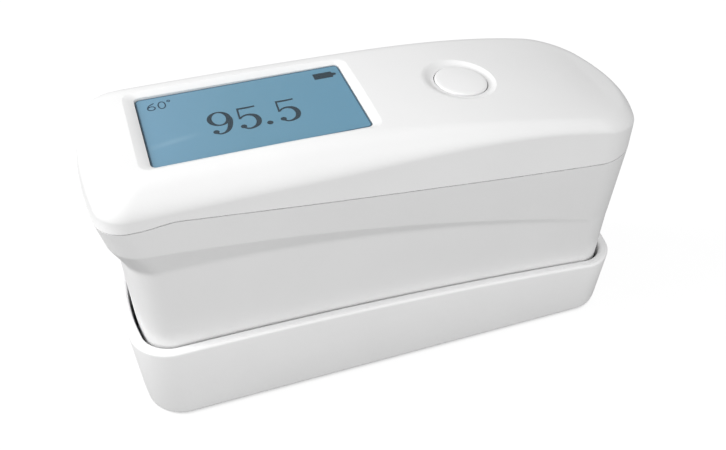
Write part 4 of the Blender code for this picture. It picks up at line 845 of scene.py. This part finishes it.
def display_recess():
    """Window opening with the frame's slopes, which fall below the glass towards the right."""
    left = SCREEN_LEFT
    right = left + SCREEN_LENGTH
    gap = WINDOW_GAP
    half = 0.5 * SCREEN_WIDTH
    opening = divided(rounded_rectangle(left - gap, right + gap, half + gap, SCREEN_CORNER + gap))
    frame_edge = rounded_rectangle(left - FRAME_LEFT, right + FRAME_RIGHT, half + FRAME_SIDE, FRAME_CORNER)
    bend_run = 0.45
    bend_rise = 0.62
    past = 0.9
    run = bend_run + (1.0 - bend_run) * (1.0 + past)
    rise = 1.0 + (1.0 - bend_rise) * past
    foot = []
    bend = []
    slope = []
    for (ax, ay), (bx, by) in zip(opening, divided(frame_edge)):
        low = SCREEN_Z - mix(0.00002, 0.00035, (ax - left) / SCREEN_LENGTH)
        height = crown_z(bx, by) - low
        foot.append(Vector((ax, ay, low)))
        bend.append(Vector((mix(ax, bx, bend_run), mix(ay, by, bend_run), low + bend_rise * height)))
        slope.append(Vector((mix(ax, bx, run), mix(ay, by, run), low + height * rise)))
    below = at_height(opening, SCREEN_Z - 0.0040)
    high = at_height([(point.x, point.y) for point in slope], SCREEN_Z + 0.0040)
    return solid("display_recess", [below, foot, bend, slope, high])


def on_button(points, height):
    place = Matrix.Translation((BUTTON_X, 0.0, top_z(BUTTON_X))) @ Matrix.Rotation(BUTTON_TILT, 4, "Y")
    return [place @ Vector((x, y, height)) for x, y in points]


def turned_on_button(name, profile):
    """Round piece on the button's axis, from (radius, height) pairs, lowest first."""
    return solid(name, [on_button(disc(radius), height) for radius, height in profile])


def button_dish():
    """Hole for the cap, a flat ring round it and the slope up to the top surface."""
    profile = [
        (CAP_RADIUS + 0.00025, SHAFT_LOW),
        (CAP_RADIUS + 0.00016, -0.00080),
        (CAP_RADIUS + 0.00024, -0.00074),
        (0.00600, -0.00074),
        (0.00620, -0.00070),
        (0.00645, -0.00060),
        (0.0067, -0.00046),
        (0.0070, -0.00028),
        (0.0073, -0.00013),
        (0.0075, -0.00006),
        (0.0078, 0.00001),
        (0.0082, 0.00008),
        (0.0089, 0.00024),
    ]
    return turned_on_button("button_dish", profile)


def crisp_frame(cover):
    """Keep the edge between the display's frame and the top surface sharp."""
    spots = cover.data.vertices
    field_left = -0.0460
    field_half = 0.0140

    def on_top(index):
        x, y, z = spots[index].co
        return abs(z - crown_z(x, y)) < 0.00003 and abs(y) < field_half and field_left < x < 0.0

    turn = {}
    for face in cover.data.polygons:
        for key in face.edge_keys:
            turn.setdefault(key, []).append(face.normal)

    def on_edge(edge):
        faces = turn[edge.key]
        folded = len(faces) == 2 and faces[0].angle(faces[1]) > 0.07
        return folded and all(on_top(index) for index in edge.key)

    edit_with(cover, "EDGE", on_edge)
    bpy.ops.mesh.mark_sharp()
    bpy.ops.object.mode_set(mode="OBJECT")


def model_cover():
    cover, rings = raised("cover_shell", cover_rings())
    close_crown(cover, rings[-1], 30)
    wall = cover.modifiers.new("wall", "SOLIDIFY")
    wall.thickness = SHELL_WALL
    wall.offset = -1.0
    apply(cover, wall)
    flatten_rim(cover, lambda x: parting_z(x) + 0.5 * PARTING_GAP)
    carve(cover, display_recess())
    carve(cover, button_dish())
    smooth(cover, 24.0)
    crisp_frame(cover)
    hand_over(cover, white_shell, "meter", "white_plastic", "upper_cover")


# Lower housing


def across_end(half_width, half_height, corner, middle_z, x, steps=8):
    """Rounded rectangle in the plane of the right end."""
    outline = rounded_rectangle(-half_width, half_width, half_height, corner, steps)
    return [Vector((x, y, middle_z + z)) for y, z in outline]


def socket_mouth(housing):
    """Opening in the right end with flared sides, in which the socket lies."""
    low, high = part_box("usb_socket")
    middle = 0.5 * (low[2] + high[2])
    half_width = 0.5 * (high[1] - low[1]) + SOCKET_GAP
    half_height = 0.5 * (high[2] - low[2]) + SOCKET_GAP
    end = high[0] + 0.0004
    wide = half_width + MOUTH_FLARE
    tall = half_height + MOUTH_FLARE
    sections = [
        across_end(half_width, half_height, MOUTH_CORNER, middle, end - 0.0060),
        across_end(half_width, half_height, MOUTH_CORNER, middle, end - 0.0004),
        across_end(wide, tall, MOUTH_CORNER + MOUTH_FLARE, middle, end + 0.0009),
    ]
    carve(housing, solid("socket_mouth", sections))


def model_housing():
    outer = [
        at_height(body_plan(BODY_FOOT), BODY_FOOT),
        at_height(waist_plan(), waist_z),
        at_height(brow_plan(), brow_z),
        at_height(head_plan(), lambda x: parting_z(x) - 0.5 * PARTING_GAP),
    ]
    outer = rounded_levels(outer, (WAIST_ROUND, BROW_ROUND))
    inner = [
        at_height(pulled_in(head_plan(), SHELL_WALL), lambda x: parting_z(x) - 0.5 * PARTING_GAP),
        at_height(pulled_in(brow_plan(), SHELL_WALL), brow_z),
        at_height(pulled_in(waist_plan(), SHELL_WALL), waist_z),
        at_height(pulled_in(body_plan(BODY_FOOT), SHELL_WALL), BODY_FOOT),
    ]
    housing = hoop("housing_shell", outer + inner)
    socket_mouth(housing)
    smooth(housing, 30.0)
    hand_over(housing, white_shell, "meter", "white_plastic", "lower_housing")


def model_socket():
    """Charging socket: rolled metal shell, its back wall and the tongue."""
    low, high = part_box("usb_socket")
    middle = 0.5 * (low[2] + high[2])
    width = 0.5 * (high[1] - low[1])
    height = 0.5 * (high[2] - low[2])
    wall = SOCKET_WALL
    lip = SOCKET_LIP
    corner = SOCKET_CORNER
    back = low[0] + 0.0012
    bore = (width - wall - lip, height - wall - lip, SOCKET_BORE_CORNER - lip)
    shell = solid(
        "socket_shell",
        [
            across_end(width, height, corner, middle, low[0]),
            across_end(width, height, corner, middle, high[0] - lip),
            across_end(width - lip, height - lip, corner - lip, middle, high[0]),
            across_end(width - wall, height - wall, corner - wall, middle, high[0]),
            across_end(*bore, middle, high[0] - lip),
            across_end(*bore, middle, back),
        ],
    )
    smooth(shell, 40.0)
    hand_over(shell, plated, "meter", "steel", "usb_socket")
    wide = TONGUE_SHARE * width
    tongue = solid(
        "socket_tongue",
        [
            across_end(wide, TONGUE_HALF, TONGUE_CORNER, middle, back - 0.0004, 3),
            across_end(wide, TONGUE_HALF, TONGUE_CORNER, middle, high[0] - 0.0011, 3),
            across_end(wide - 0.0002, TONGUE_HALF - 0.00014, TONGUE_CORNER, middle, high[0] - 0.0009, 3),
        ],
    )
    smooth(tongue, 30.0)
    hand_over(tongue, black_body, "meter", "black_plastic")


# Calibration base


def rim_section(inset, below):
    return at_height(base_plan(RIM_HEIGHT, inset), lambda x: rim_z(x) - below)


def model_base():
    """Tray with a rounded foot and a rounded rim, and its floor."""
    edge = RIM_ROUND
    hold = 0.0016
    sections = [at_height(base_plan(0.0, FOOT_ROUND), BASE_FOOT)]
    for i in range(1, 5):
        turn = 0.5 * math.pi * i / 4
        inset = FOOT_ROUND * (1.0 - math.sin(turn))
        sections.append(at_height(base_plan(0.0, inset), BASE_FOOT + FOOT_ROUND * (1.0 - math.cos(turn))))
    sections.append(at_height(base_plan(hold), hold))
    sections.append(rim_section(0.0, 1.3 * edge))
    for i in range(6):
        turn = 0.5 * math.pi * i / 5
        sections.append(rim_section(edge * (1.0 - math.cos(turn)), edge * (1.0 - math.sin(turn))))
    for i in range(6):
        turn = 0.5 * math.pi * i / 5
        sections.append(rim_section(BASE_WALL - edge * (1.0 - math.sin(turn)), edge * (1.0 - math.cos(turn))))
    sections.append(at_height(base_plan(TRAY_FLOOR, BASE_WALL), TRAY_FLOOR))
    sections.append(at_height(base_plan(0.0, BASE_WALL), BASE_FOOT))
    base = hoop("base_shell", sections)
    slab = base_plan(TRAY_FLOOR, 0.5 * BASE_WALL)
    low = TRAY_FLOOR - TRAY_FLOOR_THICKNESS
    carve(base, solid("base_floor", [at_height(slab, low), at_height(slab, TRAY_FLOOR)]), "UNION")
    smooth(base, 30.0)
    hand_over(base, white_base_painted_lighter, "meter", "white_plastic", "base_tray")


def model_foot():
    """Rubber foot with a rounded edge and shallow grip grooves."""
    low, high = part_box("base_pad")
    edge = 0.0003
    inset = BASE_WALL + PAD_BORDER
    foot = solid(
        "rubber_foot",
        [
            at_height(base_plan(0.0, inset + edge), low[2]),
            at_height(base_plan(0.0, inset + 0.3 * edge), low[2] + 0.3 * edge),
            at_height(base_plan(0.0, inset), low[2] + edge),
            at_height(base_plan(0.0, inset), high[2]),
        ],
    )
    reach = GROOVE_HALF_LENGTH
    for i in range(GROOVES):
        middle = GROOVE_PITCH * (i - GROOVES // 2)
        left = middle - GROOVE_HALF_WIDTH
        right = middle + GROOVE_HALF_WIDTH
        points = [(left, -reach), (right, -reach), (right, reach), (left, reach)]
        sections = [at_height(points, low[2] - 0.0005), at_height(points, low[2] + GROOVE_DEPTH)]
        carve(foot, solid("grip_groove", sections))
    smooth(foot, 30.0)
    hand_over(foot, rubber, "meter", "rubber", "base_pad")


# Button


def model_button():
    """Cap with a rounded edge and a slightly crowned face."""
    profile = [
        (CAP_RADIUS, SHAFT_LOW),
        (CAP_RADIUS, -0.00072),
        (CAP_RADIUS - 0.00004, -0.00058),
        (CAP_RADIUS - 0.00012, -0.00047),
        (CAP_RADIUS - CAP_EDGE, CAP_TOP),
    ]
    for i in range(1, 9):
        share = 1.0 - i / 8.5
        profile.append(((CAP_RADIUS - CAP_EDGE) * share, CAP_TOP + CAP_CROWN * (1.0 - share * share)))
    cap = turned_on_button("button_cap", profile)
    smooth(cap, 40.0)
    hand_over(cap, white_cap, "button", "white_plastic", "measure_button")


# Display


def model_display():
    """Thin cover glass and, bonded under it, the display block whose face fills the opening."""
    left = SCREEN_LEFT
    right = left + SCREEN_LENGTH
    half = 0.5 * SCREEN_WIDTH
    soft = 0.00012

    def edge(inset, z):
        return at_height(rounded_rectangle(left + inset, right - inset, half - inset, SCREEN_CORNER), z)

    pane = solid(
        "display_pane",
        [
            edge(0.0, SCREEN_Z - GLASS_THICKNESS),
            edge(0.0, SCREEN_Z - soft),
            edge(0.3 * soft, SCREEN_Z - 0.3 * soft),
            edge(soft, SCREEN_Z),
        ],
    )
    smooth(pane, 30.0)
    hand_over(pane, glass, "meter", "clear_glass", "display_window")

    low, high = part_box("lcd_panel")
    panel = rounded_rectangle(low[0], high[0], high[1], 0.0004)
    face = solid(
        "lcd_face",
        [
            at_height(panel, low[2]),
            at_height(panel, high[2]),
            edge(FACE_INSET, high[2] + 0.00001),
            edge(FACE_INSET, FACE_Z),
        ],
    )
    smooth(face, 30.0)
    hand_over(face, blue_face, "meter", "display_blue", "lcd_panel")


# What the display shows. Places are in millimetres: X from the screen's left edge, Y from its lower edge.


def on_face(points):
    return [(SCREEN_LEFT + 0.001 * x, 0.001 * y - 0.5 * SCREEN_WIDTH) for x, y in points]


def inked(name, outline):
    """Thin raised mark on the display's face."""
    points = on_face(outline)
    return solid(name, [at_height(points, MARK_LOW), at_height(points, MARK_HIGH)])


def joined(first, *others):
    for other in others:
        carve(first, other, "UNION")
    return first


def ring_mark(name, outer, inner):
    """Thin raised ring between two outlines with the same number of points."""
    outer = on_face(outer)
    inner = on_face(inner)
    outside = [at_height(outer, MARK_LOW), at_height(outer, MARK_HIGH)]
    inside = [at_height(inner, MARK_HIGH), at_height(inner, MARK_LOW)]
    return hoop(name, outside + inside)


def oval(x, y, across, up, steps=40):
    turns = [2.0 * math.pi * i / steps for i in range(steps)]
    return [(x + across * math.cos(turn), y + up * math.sin(turn)) for turn in turns]


def pen_stroke(knots, steps=8):
    """Outline of a stroke through knots of (x, y, width), on a smooth curve."""
    path = [Vector(knot) for knot in knots]
    path = [2.0 * path[0] - path[1]] + path + [2.0 * path[-1] - path[-2]]
    run = []
    for a, b, c, d in zip(path, path[1:], path[2:], path[3:]):
        for i in range(steps):
            t = i / steps
            bend = (2.0 * a - 5.0 * b + 4.0 * c - d) * t * t + (3.0 * b - a - 3.0 * c + d) * t**3
            run.append(0.5 * (2.0 * b + (c - a) * t + bend))
    run.append(path[-2])
    right = []
    left = []
    for i, knot in enumerate(run):
        ahead = run[min(i + 1, len(run) - 1)] - run[max(i - 1, 0)]
        side = Vector((ahead.y, -ahead.x)).normalized() * 0.5 * knot.z
        right.append((knot.x + side.x, knot.y + side.y))
        left.append((knot.x - side.x, knot.y - side.y))
    return right + left[::-1]


def figure_nine(x, y):
    bowl = ring_mark("nine", oval(x + 2.25, y + 5.0, 2.2, 2.27), oval(x + 2.25, y + 5.0, 1.3, 1.92))
    tail = pen_stroke(
        [
            (x + 3.95, y + 5.4, 0.75),
            (x + 4.15, y + 4.4, 0.95),
            (x + 4.0, y + 3.0, 0.95),
            (x + 3.4, y + 1.3, 0.80),
            (x + 2.5, y + 0.42, 0.48),
            (x + 1.7, y + 0.25, 0.36),
            (x + 1.05, y + 0.62, 0.36),
        ]
    )
    return joined(bowl, inked("nine_tail", tail), inked("nine_ball", oval(x + 1.0, y + 1.05, 0.56, 0.56, 28)))


def figure_five(x, y):
    stem = pen_stroke([(x + 0.62, y + 7.0, 0.36), (x + 0.50, y + 5.3, 0.34), (x + 0.42, y + 3.6, 0.36)])
    flag = pen_stroke([(x + 0.45, y + 6.92, 0.50), (x + 2.2, y + 6.86, 0.50), (x + 3.9, y + 6.95, 0.40)])
    bowl = pen_stroke(
        [
            (x + 0.42, y + 3.65, 0.34),
            (x + 1.15, y + 4.35, 0.40),
            (x + 2.15, y + 4.55, 0.52),
            (x + 3.25, y + 3.95, 0.85),
            (x + 3.70, y + 2.55, 0.98),
            (x + 3.25, y + 1.05, 0.85),
            (x + 2.15, y + 0.28, 0.48),
            (x + 1.25, y + 0.28, 0.38),
            (x + 0.60, y + 0.80, 0.40),
        ]
    )
    ball = oval(x + 0.60, y + 1.15, 0.56, 0.56, 28)
    figure = inked("five", stem)
    return joined(figure, inked("five_flag", flag), inked("five_bowl", bowl), inked("five_ball", ball))


def model_reading():
    reading = figure_nine(11.65, 6.28)
    point = oval(22.57, 7.12, 0.58, 0.58, 28)
    joined(reading, figure_five(17.15, 6.32), figure_five(24.6, 6.32), inked("point", point))
    reading.name = "lcd_reading"
    smooth(reading, 30.0)
    hand_over(reading, ink, "meter", "display_blue")


def model_angle():
    line = 0.24
    six = pen_stroke([(3.35, 20.15, line), (2.35, 19.5, line), (1.98, 18.6, line)])
    loop = ring_mark("angle", oval(2.72, 18.55, 0.80, 0.72, 28), oval(2.72, 18.55, 0.56, 0.48, 28))
    nought = ring_mark("nought", oval(4.72, 19.1, 0.78, 1.26, 28), oval(4.72, 19.1, 0.54, 1.02, 28))
    degree = ring_mark("degree", oval(6.1, 20.15, 0.36, 0.36, 20), oval(6.1, 20.15, 0.18, 0.18, 20))
    joined(loop, inked("six", six), nought, degree)
    loop.name = "lcd_angle"
    smooth(loop, 30.0)
    hand_over(loop, thin_ink, "meter", "display_blue")


def model_border():
    """Thin dark line round the screen's edge: painted shade where the glass's edge meets the frame."""
    across = 1000.0 * SCREEN_LENGTH
    up = 1000.0 * SCREEN_WIDTH

    def line(inset, corner):
        outline = rounded_rectangle(inset, across - inset, 0.5 * up - inset, corner)
        return [(x, y + 0.5 * up) for x, y in outline]

    border = ring_mark("lcd_border", line(0.06, 0.85), line(0.26, 0.65))
    smooth(border, 30.0)
    hand_over(border, glass_edge_shade, "meter", "display_blue")


def model_charge():
    body = [(34.37, 18.2), (38.1, 18.2), (38.2, 18.7), (38.9, 18.9), (38.9, 19.5), (38.2, 19.7), (38.1, 20.2)]
    sign = inked("lcd_charge", body + [(34.37, 20.2)])
    smooth(sign, 30.0)
    hand_over(sign, ink, "meter", "display_blue")


model_cover()
model_housing()
model_base()
model_button()
model_display()
model_reading()
model_angle()
model_border()
model_charge()
model_socket()
model_foot()


# Room, light and camera


def seen_directly(tree):
    """1 for rays from the camera and for those that glass sends on, otherwise 0."""
    path = tree.nodes.new("ShaderNodeLightPath")
    either = tree.nodes.new("ShaderNodeMath")
    either.operation = "MAXIMUM"
    tree.links.new(path.outputs["Is Camera Ray"], either.inputs[0])
    tree.links.new(path.outputs["Is Transmission Ray"], either.inputs[1])
    return either.outputs[0]


def mixed(tree, share, first, second):
    both = tree.nodes.new("ShaderNodeMixShader")
    tree.links.new(share, both.inputs["Fac"])
    tree.links.new(first, both.inputs[1])
    tree.links.new(second, both.inputs[2])
    return both.outputs["Shader"]


def diffuse(tree, tone):
    made = tree.nodes.new("ShaderNodeBsdfDiffuse")
    made.inputs["Color"].default_value = (tone, tone, tone, 1.0)
    return made.outputs["BSDF"]


def glowing(tree, strength, kind="ShaderNodeEmission"):
    made = tree.nodes.new(kind)
    made.inputs["Color"].default_value = (1.0, 1.0, 1.0, 1.0)
    made.inputs["Strength"].default_value = strength
    return made.outputs[0]


def painted_contact_shade(tree, reach):
    """Painted contact shadow: 1 on the open floor, falling to 0 where the object comes close to it."""
    made = tree.nodes.new("ShaderNodeAmbientOcclusion")
    made.samples = 8
    made.inputs["Distance"].default_value = reach
    return made.outputs["AO"]


def lay_floor():
    """White sheet that keeps a faint shadow and sends only a little light up under the object."""
    deselect()
    bpy.ops.mesh.primitive_plane_add(size=4.0, location=(0.0, 0.0, 0.0))
    floor = bpy.context.object
    floor.name = "studio_floor"
    made = bpy.data.materials.new("studio_floor")
    made.use_nodes = True
    tree = made.node_tree
    tree.nodes.clear()
    # Painted shadow: near the object the floor's glow is taken away, so a thin dark line shows under the
    # base's edge
    share = ranged(tree, painted_contact_shade(tree, CONTACT_REACH), 0.0, FLOOR_GLOW, 0.0, 1.0)
    sheet = mixed(tree, share, diffuse(tree, 0.9), glowing(tree, 1.04))
    out = tree.nodes.new("ShaderNodeOutputMaterial")
    tree.links.new(mixed(tree, seen_directly(tree), diffuse(tree, FLOOR_TONE), sheet), out.inputs["Surface"])
    floor.data.materials.append(made)


def soft_lamp(name, place, aim, size, energy):
    bpy.ops.object.light_add(type="AREA", location=place)
    lamp = bpy.context.object
    lamp.name = name
    lamp.data.name = name
    lamp.data.shape = "SQUARE"
    lamp.data.size = size
    lamp.data.energy = energy
    lamp.rotation_euler = (Vector(aim) - lamp.location).to_track_quat("-Z", "Y").to_euler()


def light_room():
    world = bpy.data.worlds.new("studio")
    bpy.context.scene.world = world
    world.use_nodes = True
    tree = world.node_tree
    tree.nodes.clear()
    room = glowing(tree, ROOM_LIGHT, "ShaderNodeBackground")
    backdrop = glowing(tree, 1.0, "ShaderNodeBackground")
    path = tree.nodes.new("ShaderNodeLightPath")
    out = tree.nodes.new("ShaderNodeOutputWorld")
    tree.links.new(mixed(tree, path.outputs["Is Camera Ray"], room, backdrop), out.inputs["Surface"])
    soft_lamp("window_light", KEY_PLACE, LIGHT_AIM, KEY_SIZE, KEY_POWER)
    soft_lamp("front_fill", FILL_PLACE, LIGHT_AIM, FILL_SIZE, FILL_POWER)


def set_camera():
    data = bpy.data.cameras.new("photo_camera")
    data.sensor_width = 36.0
    data.lens = CAMERA_LENS
    data.clip_start = 0.01
    eye = bpy.data.objects.new("photo_camera", data)
    eye.location = CAMERA_PLACE
    eye.rotation_euler = [math.radians(angle) for angle in CAMERA_TURN]
    bpy.context.scene.collection.objects.link(eye)
    bpy.context.scene.camera = eye


lay_floor()
light_room()
set_camera()
bpy.context.scene.view_settings.view_transform = "Standard"
